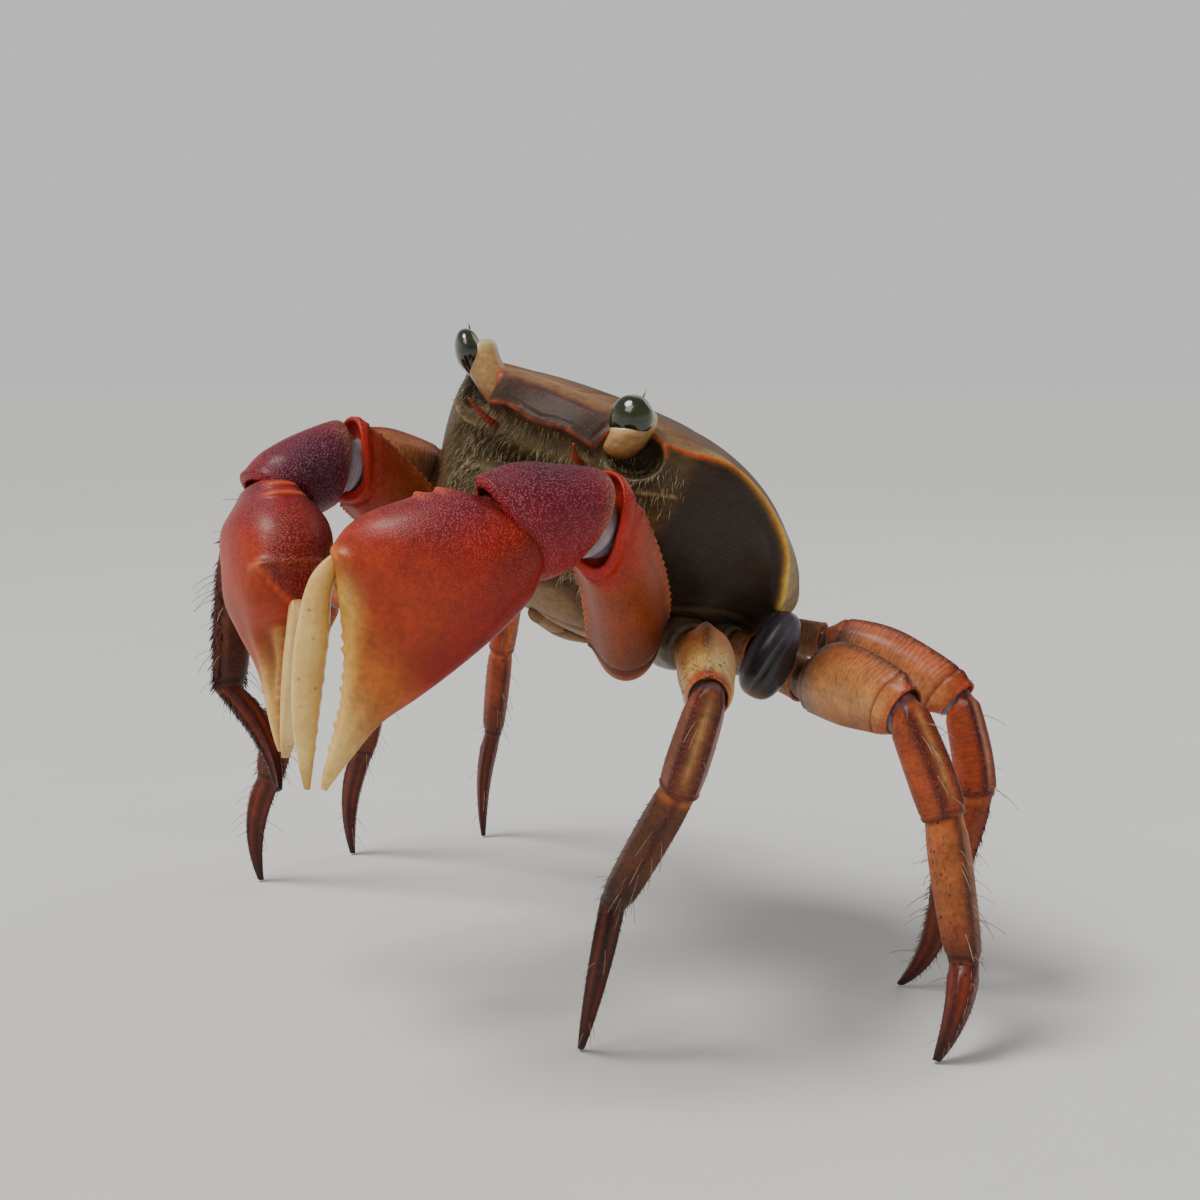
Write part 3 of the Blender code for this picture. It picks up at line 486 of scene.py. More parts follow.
LEG_FINISH = chitin("leg_finish", rough=0.38, grain_scale=3200, grain_pale=(0.55, 0.28, 0.16, 1),
                    coat=0.12, grain_height=0.00009, stripe_scale=0.55, mottle=0.45)
MEMBRANE_FINISH = chitin("membrane_finish", rough=0.24, coat=0.5, mottle=0.2, soft=0.1, stripe_scale=0.8)
STALK_FINISH = chitin("stalk_finish", rough=0.28, coat=0.4, mottle=0.35, soft=0.06)
BUD_FINISH = chitin("bud_finish", rough=0.32, coat=0.4, mottle=0.2)
CORNEA_FINISH = eye_glass("cornea_finish")
BRISTLE_FINISH = strand("bristle_finish", (0.010, 0.005, 0.004), (0.035, 0.014, 0.009))
HAIR_FINISH = strand("hair_finish", (0.20, 0.13, 0.07), (0.40, 0.29, 0.17))
BEARD_FINISH = strand("beard_finish", (0.15, 0.115, 0.05), (0.35, 0.28, 0.145), 0.6)


# Limbs

def chain(root, steps):
    """Joint points of a limb; a step without a length ends on the floor."""
    points = [on_body(root)]
    for length, heading, lift in steps:
        ray = direction(heading, lift)
        reach = points[-1][2] / -ray[2] if length is None else length * MM
        points.append(points[-1] + ray * reach)
    return points


def article_axes(start, end, side):
    along = unit(end - start)
    deep = unit(np.cross(side, along))
    if deep[2] < 0 and abs(along[2]) < 0.8:
        deep = -deep
    return along, deep, unit(np.cross(along, deep))


# The open side of the claws' elbows, where soft skin shows
OPEN_SIDE = direction(-56, 2)

AROUND = 48
ARTICLE_ROWS = 64
ANGLES = round_angles(AROUND)
PLAIN_START = ((0.0, 0.6), (0.01, 0.95))
START_LIP = ((-0.085, 0.16), (-0.083, 0.36), (-0.075, 0.52), (-0.055, 0.62), (-0.03, 0.67))
NECK = 0.70
NECKS = {"base": 1.0, "merus": 0.72, "carpus": 0.80, "propodus": 0.96, "dactyl": 1.0}
END_LIP = ((1.004, 0.955), (0.998, 0.90), (0.975, 0.85), (0.93, 0.80))
FOOT_LIP = ((1.003, 0.7), (1.0, 0.3))
FINE = np.linspace(0, 1, 81)
FINE_SHAPES = {kind: smooth_rows(rows, FINE).T for kind, rows in SHAPES.items()}


class Article:
    """One hard article of a limb, as rings with their places and angles.
    notch is a side, a width in degrees and a depth, where its far rim stands back."""

    def __init__(self, kind, start, end, size, side, before=None, after=None,
                 neck=NECK, bow=None, notch=None, foot=False):
        self.kind, self.start, self.end, self.size = kind, start, end, np.array(size) * MM
        self.length = np.linalg.norm(end - start)
        self.along, self.deep, self.across = article_axes(start, end, side)
        self.bow = self.deep * BOWS.get(kind, 0.0) * self.length if bow is None else np.asarray(bow) * MM
        self.notch = notch
        self.first, self.last = np.array(SHAPES[kind][0][1:]), np.array(SHAPES[kind][-1][1:])
        self.before = None if before is None else unit(unit(before) + self.along)
        self.after = None if after is None else unit(unit(after) + self.along)
        # where the rings stand, and how far each is drawn in
        if before is None:
            lip_in, neck = PLAIN_START, 1.0
        else:
            lip_in = [(t, k * neck / NECK) for t, k in START_LIP]
        lip_out = FOOT_LIP if foot else END_LIP
        body = np.linspace(lip_in[-1][0] + 0.02, 1.0, ARTICLE_ROWS)
        swell = neck + (1 - neck) * rise(body, -0.01, 0.15)
        places = np.concatenate([[t for t, k in lip_in], body, [t for t, k in lip_out]])
        self.drawn_in = np.concatenate([[k for t, k in lip_in], swell, [k for t, k in lip_out]])
        self.angle = np.broadcast_to(ANGLES, (len(places), AROUND))
        self.place = np.broadcast_to(places[:, None], (len(places), AROUND))

    def middle(self, t):
        return self.start + (self.end - self.start) * t[..., None] + self.bow * (4 * t * (1 - t))[..., None]

    def out(self, angle):
        turn = np.radians(angle)
        return unit(self.across * (np.cos(turn) * self.size[0] / self.size[1])[..., None]
                    + self.deep * np.sin(turn)[..., None])

    def facing(self, toward):
        """Angle round the article that looks toward a side."""
        return math.degrees(math.atan2(np.dot(toward, self.deep), np.dot(toward, self.across)))

    def surface(self, t, angle, k=1.0, lift=0.0):
        """Points at a share of the length and an angle round the article."""
        t, angle = np.broadcast_arrays(np.asarray(t, float), np.asarray(angle, float))
        shape = np.stack([np.interp(t, FINE, values) for values in FINE_SHAPES[self.kind]], -1)
        turn = np.radians(angle)
        offset = (self.across * (self.size[1] * shape[..., 1] * k * np.cos(turn))[..., None]
                  + self.deep * (self.size[0] * shape[..., 0] * k * np.sin(turn))[..., None])
        offset = offset + self.out(angle) * np.asarray(lift)[..., None]
        points = self.middle(t) + offset
        # both ends are cut aslant, half-way to their neighbours
        cuts = ((self.before, 1 - rise(t, 0.0, 0.42)), (self.after, 0.86 * rise(t, 0.58, 1.0)))
        for normal, weight in cuts:
            if normal is not None:
                slide = -(offset @ normal) / (self.along @ normal)
                points = points + self.along * (slide * weight)[..., None]
        if self.notch is not None:
            toward, wide, depth = self.notch
            back = depth * MM * ridge(angle, self.facing(toward), wide) * rise(t, 0.55, 1.0)
            points = points - self.along * back[..., None]
        return points

    def rings(self, lift):
        return self.surface(self.place, self.angle, self.drawn_in[:, None], lift)

    def lay(self):
        """Way of the grain: along, round, and the article's own length."""
        around = np.radians(self.angle) * self.size[0] / MM
        length = self.length / MM
        return np.stack([self.place * length, around * 0.3, np.full_like(around, length)], -1)


# Forms and paints of the articles of a leg

DARK_RED = shade(92, 26, 20)
RIM_RED = shade(192, 66, 30)
CREAM = shade(212, 172, 116)
LILAC = shade(132, 116, 130)
TOE_RED = shade(80, 28, 20)
ARTICLE_PAINTS = {
    "base": shade(134, 96, 66), "base's root": shade(92, 78, 74), "base's groove": shade(84, 58, 44),
    "merus's root": shade(126, 106, 96), "beside the ridge": shade(168, 84, 44),
    "front merus's root": shade(118, 104, 108), "front merus's end": shade(206, 178, 112),
    "carpus's keel": shade(200, 116, 42), "propodus's neck": shade(190, 120, 62),
    "toe's groove": shade(150, 72, 38), "toe's tip": shade(46, 24, 18),
}
# Merus, carpus, propodus and toe
LEG_PAINTS = {
    "left_leg_1": (shade(176, 122, 68), shade(130, 72, 38), shade(104, 62, 36), shade(60, 28, 19)),
    "left_leg_3": (shade(162, 98, 50), shade(146, 72, 38), shade(158, 94, 52), shade(98, 42, 26)),
    "left_leg_4": (shade(168, 78, 36), shade(150, 66, 34), shade(146, 70, 38), shade(96, 42, 26)),
    "right_leg_1": (shade(180, 104, 60), shade(116, 62, 36), shade(98, 54, 34), shade(78, 38, 24)),
    "right_leg_2": (shade(172, 90, 46), shade(144, 68, 36), shade(138, 74, 42), shade(90, 38, 24)),
    "right_leg_3": (shade(174, 94, 50), shade(146, 70, 38), shade(142, 76, 42), shade(92, 40, 24)),
    "right_leg_4": (shade(176, 90, 46), shade(148, 66, 36), shade(140, 70, 40), shade(94, 40, 26)),
}


def leg_form(article):
    """Height over the plain article, in metres, of ridges, grooves and rims."""
    t, angle, kind = article.place, article.angle, article.kind
    scale = article.size[0] / (SIZES[kind][0])
    free = rise(t, 0.06, 0.16) * (1 - rise(t, 0.90, 0.97))
    rim = bell(t, 0.975, 0.016)

    def ridges(height, width, *sides):
        return height * sum(ridge(angle, side, width) for side in sides)

    if kind == "base":
        return scale * (0.08 * rim - 0.18 * bell(t, 0.55, 0.05) + ridges(0.14, 22, 60) * bell(t, 0.8, 0.2))
    if kind == "merus":
        form = free * (ridges(0.40, 12, 90) + ridges(0.20, 9, -60, -120) - ridges(0.12, 13, 66, 114))
        form = form - 0.20 * bell(t, 0.885, 0.011) + rim * (0.04 + 0.03 * np.sin(np.radians(angle) * 17))
        swell = 0.32 * bell(t, 0.48, 0.24) - 0.42 * rise(t, 0.90, 1.0)
        return scale * (form + swell - 0.20 * bell(t, 0.15, 0.014))
    if kind == "carpus":
        form = free * (ridges(0.32, 11, 58, 122) - ridges(0.20, 14, 90) - ridges(0.14, 16, 20, 160)
                       + ridges(0.14, 18, -90))
        return scale * (form + 0.04 * rim - 0.12 * bell(t, 0.94, 0.012) - 0.10 * rise(t, 0.97, 1.0))
    if kind == "propodus":
        form = free * (ridges(0.20, 11, 90) + ridges(0.16, 13, -90) + ridges(0.12, 11, 38, 142)
                       - ridges(0.10, 18, 0, 180))
        return scale * (form - 0.10 * bell(t, 0.945, 0.010) - 0.26 * rise(t, 0.86, 1.0))
    form = ridges(0.20, 11, 90, -90, 32, 148, -32, -148)
    return scale * (1 - 0.75 * t) * free * (form - 0.06)


def base_paint(t, angle, paints):
    tint = all_over(t.shape, ARTICLE_PAINTS["base"])
    tint = mix(tint, ARTICLE_PAINTS["base's root"], 0.85 * rise(t, 0.75, 0.2))
    tint = mix(tint, ARTICLE_PAINTS["base's groove"], 0.7 * bell(t, 0.55, 0.05))
    tint = mix(tint, RIM_RED, 0.4 * rise(t, 0.95, 0.975))
    return tint, feel(t.shape, stripes=0.4, specks=0.3)


def merus_paint(t, angle, paints):
    upper = ridge(angle, 90, 13)
    tint = all_over(t.shape, paints[0])
    tint = mix(tint, CREAM, 0.30 * ridge(angle, 0, 44) + 0.30 * ridge(angle, 180, 44))
    tint = mix(tint, ARTICLE_PAINTS["merus's root"],
               0.75 * bell(t, 0.18, 0.12) * (1 - ridge(angle, 90, 26)))
    tint = mix(tint, DARK_RED, 0.85 * upper * rise(t, 0.08, 0.3))
    tint = mix(tint, ARTICLE_PAINTS["beside the ridge"],
               0.5 * (ridge(angle, 60, 14) + ridge(angle, 120, 14)))
    tint = mix(tint, DARK_RED * 0.7, 0.75 * bell(t, 0.885, 0.010) + 0.5 * bell(t, 0.15, 0.012))
    tint = mix(tint, RIM_RED, 0.60 * bell(t, 0.985, 0.016))
    granules = 0.9 * ridge(angle, 90, 15) + 0.3 * rise(t, 0.95, 0.975)
    stripes = 0.6 * (1 - 0.8 * upper) * rise(t, 0.16, 0.24) * (1 - rise(t, 0.84, 0.88))
    return tint, feel(t.shape, granules, stripes, specks=0.25)


def carpus_paint(t, angle, paints):
    ridges = ridge(angle, 58, 12) + ridge(angle, 122, 12)
    tint = mix(all_over(t.shape, paints[1]), DARK_RED, 0.85 * ridges)
    tint = mix(tint, CREAM, 0.40 * ridge(angle, 90, 9) * rise(t, 0.06, 0.2) * (1 - rise(t, 0.6, 0.95)))
    tint = mix(tint, ARTICLE_PAINTS["carpus's keel"], 0.6 * ridge(angle, -90, 14))
    tint = mix(tint, DARK_RED, 0.5 * rise(t, 0.93, 0.97))
    tint = mix(tint, LILAC, 0.45 * rise(t, 0.07, 0.0))
    return tint, feel(t.shape, 0.7 * ridges, 0.14 * (1 - np.clip(ridges, 0, 1)), specks=0.6)


def propodus_paint(t, angle, paints):
    tint = mix(all_over(t.shape, paints[1]), paints[2], rise(t, -0.02, 0.12))
    tint = mix(tint, ARTICLE_PAINTS["propodus's neck"], 0.35 * bell(t, 0.04, 0.03))
    tint = mix(tint, paints[3], rise(t, 0.35, 1.0) * 0.8)
    tint = mix(tint, DARK_RED, 0.65 * ridge(angle, 90, 14) + 0.45 * ridge(angle, -90, 14))
    tint = mix(tint, TOE_RED * 0.35, 0.85 * bell(t, 0.955, 0.018))
    return tint, feel(t.shape, 0.3 * ridge(angle, 90, 18), 0.05, specks=1.0)


def toe_paint(t, angle, paints):
    grooves = sum(ridge(angle, at, 12) for at in (0, 62, 118, 180, -60, -120))
    tint = mix(all_over(t.shape, paints[3]), TOE_RED, rise(t, 0.1, 0.8))
    tint = mix(tint, ARTICLE_PAINTS["toe's groove"], 0.35 * grooves * (1 - rise(t, 0.5, 0.9)))
    tint = mix(tint, ARTICLE_PAINTS["toe's tip"], 0.8 * rise(t, 0.80, 1.0))
    return tint, feel(t.shape, specks=0.9 * (1 - rise(t, 0.8, 1.0)), shine=0.3)


def front_merus_paint(t, angle, paints):
    """The left front merus, grey at its root, cream and specked at its end."""
    tint, touch = merus_paint(t, angle, paints)
    uneven = t + 0.05 * np.sin(np.radians(angle) * 3) + 0.03 * np.sin(np.radians(angle) * 7 + 1)
    tint = mix(tint, ARTICLE_PAINTS["front merus's root"], 0.75 * (1 - rise(uneven, 0.25, 0.62)))
    tint = mix(tint, ARTICLE_PAINTS["front merus's end"],
               0.65 * rise(uneven, 0.6, 0.85) * (1 - rise(t, 0.94, 0.96)))
    return tint, touch + feel(t.shape, specks=0.8 * rise(t, 0.5, 0.7))


PAINTERS = {"base": base_paint, "merus": merus_paint, "carpus": carpus_paint, "propodus": propodus_paint,
            "dactyl": toe_paint}


def leg_paint(article, name):
    """Paint and strength of the textures over an article of a leg."""
    painter = PAINTERS[article.kind]
    if name == "left_leg_1" and article.kind == "merus":
        painter = front_merus_paint
    return painter(article.place, article.angle, LEG_PAINTS[name])


JOINT_SKINS = []
STRAND_KEYS = ("roots", "lies", "droops", "sizes", "places")
BRISTLES, HAIRS, BEARD = ({key: [] for key in STRAND_KEYS} for _ in range(3))
# Rows of bristles: the angle round the article, how many, and their length in mm
BRISTLE_ROWS = {
    "merus": ((90, 14, 0.35), (-90, 9, 0.45)),
    "carpus": ((58, 14, 0.45), (122, 14, 0.45), (-90, 10, 0.55), (0, 7, 0.4), (180, 7, 0.4)),
    "propodus": ((90, 34, 1.0), (-90, 30, 0.95), (38, 18, 0.65), (142, 18, 0.65), (0, 12, 0.55),
                 (180, 12, 0.55)),
    "dactyl": ((90, 38, 0.85), (-90, 38, 0.85), (32, 28, 0.6), (148, 28, 0.6), (-32, 24, 0.6),
               (-148, 24, 0.6)),
}
BRISTLE_REACH = {"merus": (0.35, 0.97), "carpus": (0.20, 0.95), "propodus": (0.10, 0.98),
                 "dactyl": (0.04, 0.88)}
HAIR_COUNTS = {"propodus": 22, "carpus": 8, "dactyl": 8}
# Cells of the strands' map that follow those of the legs' articles
CELLS = {"mouth": 40, "eye": 43, "shell": 48, "crest": 49}
# Collar at a limb's root: place along the first article in mm, and share of its size
ROOT_COLLAR = ((-3.0, 0.9), (-2.0, 1.25), (-1.0, 1.34), (0.0, 1.36), (0.8, 1.30), (1.6, 1.22), (2.3, 1.10),
               (2.8, 0.96))


def plant(rows, roots, lies, droops, sizes, places):
    """Strands to be grown: roots, the way each lies and droops, its length in mm, and its place on the map
    (cell, share of the length, angle). None is long enough to reach the floor."""
    roots = np.asarray(roots)
    count = len(roots)
    sizes = np.minimum(sizes, roots[:, 2] / MM * 0.9 + 0.02)
    rows["roots"].append(roots)
    rows["lies"].append(unit(lies))
    rows["droops"].append(np.broadcast_to(unit(droops), (count, 3)))
    rows["sizes"].append(np.broadcast_to(sizes, (count,)))
    rows["places"].append(np.stack(places, -1))


def joint_skin(before, after, share=0.90, lilac=1.0):
    """Soft skin that bridges the joint between two articles."""
    joint = after.start
    low = joint - before.along * before.size[0] * 0.95
    high = joint + after.along * after.size[0] * 0.95
    rings, lays = [], []
    for t in np.linspace(0, 1, 22):
        centre = (1 - t) ** 2 * low + 2 * t * (1 - t) * joint + t * t * high
        along = unit((joint - low) * (1 - t) + (high - joint) * t)
        deep = unit(mix(before.deep, after.deep, rise(t, 0, 1)))
        deep = unit(deep - along * (deep @ along))
        across = np.cross(along, deep)
        half = mix(before.size * before.last, after.size * after.first, rise(t, 0.35, 0.9)) * share
        half = half * (1 + 0.04 * math.sin(t * 40)) * (0.6 + 0.4 * math.sin(math.pi * t))
        turn = np.radians(ANGLES)[:, None]
        rings.append(centre + across * half[1] * np.cos(turn) + deep * half[0] * np.sin(turn))
        lays.append(np.stack([np.full(AROUND, t * 6), turn[:, 0] * 2, np.full(AROUND, lilac)], -1))
    JOINT_SKINS.append((np.array(rings), np.array(lays)))


def root_skin(first, size):
    """Soft collar where a limb's first article leaves the breast."""
    rings, lays = [], []
    for t, k in ROOT_COLLAR:
        turn = np.radians(ANGLES)[:, None]
        half = size * MM * k * (1 + 0.03 * np.sin(turn * 5 + t))
        rings.append(first.start + first.along * t * MM + first.across * half * np.cos(turn)
                     + first.deep * half * np.sin(turn))
        lays.append(np.stack([np.full(AROUND, t * 1.7), turn[:, 0] * 2, np.zeros(AROUND)], -1))
    JOINT_SKINS.append((np.array(rings), np.array(lays)))


def leg_bristles(article, leg):
    """Bristles in rows on the articles past the base, and a few long hairs."""
    kind = article.kind
    if kind == "base":
        return
    number = list(LEGS).index(leg) * 5 + KINDS.index(kind)
    rows, reach = BRISTLE_ROWS[kind], BRISTLE_REACH[kind]
    if leg == "left_leg_1" and kind == "merus":
        rows = rows + tuple((at, 16, 0.5) for at in (60, 30, 0, -30, -60, -90, 120))
        reach = (0.72, 0.98)
    if leg == "right_leg_1" and kind != "merus":
        rows = rows + tuple((at, 60, 0.9) for at in (70, 90, 110, -75, -95))
    for at, count, size in rows:
        t = np.linspace(*reach, count) + RANDOM.uniform(-0.015, 0.015, count)
        angle = at + RANDOM.uniform(-8, 8, count)
        taper = 1 - 0.45 * t if kind == "dactyl" else np.ones(count)
        lies = article.out(angle) * 0.7 + article.along * RANDOM.uniform(0.6, 1.1, (count, 1))
        plant(BRISTLES, article.surface(t, angle, 0.97), lies, article.along,
              size * taper * RANDOM.uniform(0.7, 1.25, count), (np.full(count, number), t, angle))
    if kind in HAIR_COUNTS:
        count = HAIR_COUNTS[kind]
        t = RANDOM.uniform(*reach, count)
        angle = np.where(RANDOM.random(count) < 0.5, 90, -90) + RANDOM.uniform(-30, 30, count)
        lies = article.out(angle) + article.along * RANDOM.uniform(0.1, 0.7, (count, 1))
        plant(HAIRS, article.surface(t, angle, 0.97), lies, article.along,
              RANDOM.uniform(1.6, 3.6, count), (np.full(count, number), t, angle))


def make_leg(name, root, scale, steps):
    points = chain(root, steps)
    side = unit(np.cross(points[2] - points[1], (0, 0, 1)))
    articles = []
    for k, kind in enumerate(KINDS):
        before = points[k] - points[k - 1] if k else None
        after = points[k + 2] - points[k + 1] if k < 4 else None
        size = np.array(SIZES[kind]) * scale
        articles.append(Article(kind, points[k], points[k + 1], size, side, before, after, NECKS[kind],
                                foot=(kind == "dactyl")))
    for article in articles:
        rings = article.rings(leg_form(article))
        rings[..., 2] = np.maximum(rings[..., 2], 0.0)
        tint, touch = leg_paint(article, name)
        piece = skin(name + "_" + article.kind + "_look", rings, tint, touch, article.lay(), LEG_FINISH)
        dress(piece, "leg", name + "_" + article.kind)
        leg_bristles(article, name)
    root_skin(articles[0], SIZES["base"][0] * scale)
    joint_skin(articles[0], articles[1], 0.86, lilac=0.0)
    joint_skin(articles[1], articles[2], 0.80)


for leg_name, (leg_root, leg_scale, leg_steps) in LEGS.items():
    make_leg(leg_name, leg_root, leg_scale, leg_steps)


# Claws

def claw_frame(side, origin):
    """Places points given along, up and across a palm, in mm."""
    along_angles, up_angles, scale = CLAW_AXES[side]
    along = direction(*along_angles)
    up = direction(*up_angles)
    up = unit(up - along * (up @ along))
    turn = np.stack([along, up, np.cross(along, up)], -1)
    return lambda points: np.asarray(points, float) @ turn.T * (scale * MM) + origin


PURPLE = shade(104, 38, 72)
CLAW_RED = shade(178, 30, 14)
CLAW_ORANGE = shade(160, 62, 24)
CLAW_CREAM = shade(214, 182, 116)
# The hollow paint is painted shade for the hollow below the right palm's oval
PALM_PAINTS = {
    "towards the finger": shade(176, 108, 46), "biting edge": shade(196, 160, 84),
    "knob": shade(206, 122, 44), "condyle": shade(214, 100, 52), "oval": shade(150, 42, 34),
    "lip": shade(206, 92, 50), "ridge below": shade(200, 158, 96), "hollow": shade(134, 74, 40),
}
FINGER_PAINTS = {
    "root": shade(196, 120, 56), "back": shade(228, 208, 156), "biting edge": shade(178, 140, 78),
    "tip": shade(176, 128, 70),
}
ARM_PAINTS = {
    "merus's root": shade(118, 64, 36), "merus": shade(152, 76, 40), "toothed edge": shade(204, 116, 58),
    "elbow": shade(190, 100, 50), "groove": shade(96, 44, 24), "open side": shade(176, 128, 88),
    "carpus's root": shade(150, 70, 38), "base": shade(140, 88, 54), "base's root": shade(150, 132, 116),
}


def right_palm_swell(thick, place, angle, c):
    """The right palm's outer face is swollen to an oval, with a hollow below it."""
    outer = rise(c, 0.0, 0.8)
    thick = thick * (1 - 0.20 * rise(place, 5.0, 0.0)) + outer * 1.9 * bell(place, 14.0, 5.0)
    return thick - 0.8 * bell(place, 20.5, 3.5) * bell(angle, 50, 14)


def palm(side, at):
    """Palm with the fixed finger, its teeth, its rims and the hinge knob."""
    places = np.concatenate([np.linspace(-1.8, 31.3, 250), [31.38]])
    low, high, half_thick = smooth_rows(PALM_ROWS, places).T[..., None]
    around = 72
    angle = np.broadcast_to(round_angles(around), (len(places), around))
    place = np.broadcast_to(places[:, None], angle.shape)
    c, s = np.cos(np.radians(angle)), np.sin(np.radians(angle))
    if side == "right":
        hood = smooth_rows(RIGHT_PALM_HIGH, np.clip(places, 9.0, 19.0))
        high = np.where(((places > 9.6) & (places < 19.0))[:, None], np.maximum(high, hood), high)
    thick = power(c, 0.85) * half_thick
    height = (low + high) / 2 + power(s, 0.85) * (high - low) / 2
    close = np.clip((place + 1.8) / 1.4, 0.35, 1) ** 0.5
    thick, height = thick * close, (low + high) / 2 + (height - (low + high) / 2) * close
    face = np.abs(c)
    share = (height - low) / (high - low)
    # a swollen face, and a long hollow beside the fixed finger
    thick = thick * (1 + 0.10 * bell(place, 6.0, 5.0) * face
                     - 0.12 * bell(place, 20.0, 6.0) * bell(share, 0.5, 0.2))
    if side == "right":
        thick = right_palm_swell(thick, place, angle, c)
    for tooth, tall, wide in PALM_TEETH:
        point = np.clip(1 - np.abs(place - tooth) / wide, 0, 1)
        height = height + tall * point * rise(s, 0.82, 1.0)
    knob = bell(place, 11.2, 0.8) * rise(share, 0.80, 0.97)
    condyles = (bell(place, 0.3, 0.45) + bell(place, 1.8, 0.45)) * rise(s, 0.70, 0.95)
    edge = ridge(angle, -90, 14) * rise(place, 1.5, 5)
    height = height + 0.35 * knob + 0.65 * condyles - 0.28 * edge
    thick = thick * (1 + 0.25 * knob)
    lay = np.stack([place, height, thick], -1)
    zone = SimpleNamespace(place=place, angle=angle, share=share, face=face, knob=knob,
                           condyles=condyles, edge=edge)
    tint, touch = palm_paint(side, zone)
    return skin(side + "_claw_palm_look", at(lay), tint, touch, lay, CLAW_FINISH)


def palm_paint(side, zone):
    """Purple at the wrist, red below, orange to cream along the finger."""
    place, share, paint = zone.place, zone.share, PALM_PAINTS
    wrist = 1 - rise(place, 0.5, 8.0 + 3 * share)
    tint = mix(all_over(place.shape, CLAW_ORANGE), CLAW_RED, 0.60 * (1 - rise(place, 2.0, 13.0)))
    tint = mix(tint, PURPLE, 0.55 * wrist * rise(share, 0.25, 0.8))
    tint = mix(tint, CLAW_RED * 0.6, 0.90 * rise(share, 0.30, 0.04) * (1 - rise(place, 16.0, 23.0)))
    if side == "left":
        lower = rise(place + 5.0 * (share - 0.4), 14.0, 21.0)
        free = rise(place, 11.0, 14.5)
    else:
        lower = rise(place, 16.0, 25.0)
        free = rise(place, 19.0, 25.0)
    tint = mix(tint, paint["towards the finger"], lower * 0.85)
    tint = mix(tint, paint["biting edge"], 0.85 * rise(share, 0.66, 0.94) * free)
    tip = rise(place + 4.0 * (share - 0.5), 19.5, 27.5)
    tint = mix(tint, CLAW_CREAM, tip)
    tint = mix(tint, paint["knob"], 0.8 * zone.knob)
    tint = mix(tint, paint["condyle"], 0.85 * zone.condyles)
    granules = 0.6 * wrist * rise(zone.face, 0.1, 0.5) + 0.30 * (1 - rise(place, 8, 18)) + 0.5 * zone.edge
    if side == "right":
        tint, patch = right_palm_paint(tint, place, zone.angle)
        granules = granules + 0.8 * patch
    return tint, feel(place.shape, np.clip(granules, 0, 1), specks=0.35 * tip + 0.10, shine=0.5 * tip)


def right_palm_paint(tint, place, angle):
    """A dark red oval with an orange lip on the outer face, a pale ridge below it, and painted shade in the
    hollow beside that ridge.
    """
    oval = ((place - 9.6) / 7.4) ** 2 + ((angle - 122) / 68) ** 2
    patch = rise(oval, 1.02, 0.86)
    below = rise(place, 17.2, 18.4) * (1 - patch)
    tint = mix(tint, PALM_PAINTS["oval"], 0.85 * patch)
    tint = mix(tint, PALM_PAINTS["lip"], 0.85 * bell(oval, 1.04, 0.07) * rise(place, 9.0, 13.5))
    tint = mix(tint, PALM_PAINTS["ridge below"], 0.8 * below * ridge(angle, 70, 13))
    # darker in the hollow below the oval: painted shade
    tint = mix(tint, PALM_PAINTS["hollow"], 0.6 * below * ridge(angle, 44, 12) * rise(place, 27.0, 22.0))
    return tint, patch


def moving_finger(side, at):
    """Dactyl with its ribs and teeth; the right one starts lower and more slender."""
    places = np.concatenate([[9.3], np.linspace(9.6, 32.15, 150), [32.25]])
    middle, half_width, half_thick = smooth_rows(FINGER_LOOK, np.clip(places, 9.6, 32.2)).T
    slope = np.gradient(middle, places)
    along = unit(np.stack([np.ones_like(slope), slope], -1))
    angle = np.broadcast_to(round_angles(48), (len(places), 48))
    place = np.broadcast_to(places[:, None], angle.shape)
    c, s = np.cos(np.radians(angle)), np.sin(np.radians(angle))
    close = np.ones(len(places))
    close[0], close[-1] = 0.5, 0.5
    if side == "right":
        close[:-1] = 0.3 + 0.7 * np.sqrt(1 - (1 - np.clip((places[:-1] - 9.3) / 2.6, 0, 1)) ** 2)
    rib = 0.10 * ridge(angle, 40, 14) + 0.10 * ridge(angle, 140, 14) - 0.08 * ridge(angle, 90, 14)
    width = power(s, 0.9) * ((half_width * close)[:, None] + rib)
    thick = power(c, 0.9) * ((half_thick * close)[:, None] + rib)
    teeth = sum(tall * np.clip(1 - np.abs(place - tooth) / wide, 0, 1)
                for tooth, tall, wide in FINGER_TEETH)
    width = width - teeth * rise(-s, 0.80, 1.0)
    x = place - width * along[:, 1:2]
    y = middle[:, None] + width * along[:, 0:1]
    if side == "right":
        x = x + 3.8 * (1 - rise(place, 9.0, 27.0))
        y = y - 0.9 * (1 - rise(place, 9.0, 20.0))
    lay = np.stack([x, y, thick], -1)
    tint = mix(all_over(place.shape, FINGER_PAINTS["root"]), CLAW_CREAM, rise(place, 9.5, 14.0))
    tint = mix(tint, FINGER_PAINTS["back"], 0.6 * ridge(angle, 90, 40))
    tint = mix(tint, FINGER_PAINTS["biting edge"], 0.5 * ridge(angle, -90, 30) * rise(place, 12, 16))
    tint = mix(tint, FINGER_PAINTS["tip"], 0.5 * rise(place, 29.0, 32.0))
    touch = feel(place.shape, 0.3 * rise(place, 14, 9), specks=0.6, shine=0.5)
    return skin(side + "_claw_dactyl_look", at(lay), tint, touch, lay, FINGER_FINISH)


def claw_article(name, article, paint, form, finish, slot):
    rings = article.rings(form(article))
    tint, touch = paint(article)
    dress(skin(name + "_look", rings, tint, touch, article.lay(), finish), slot, name)


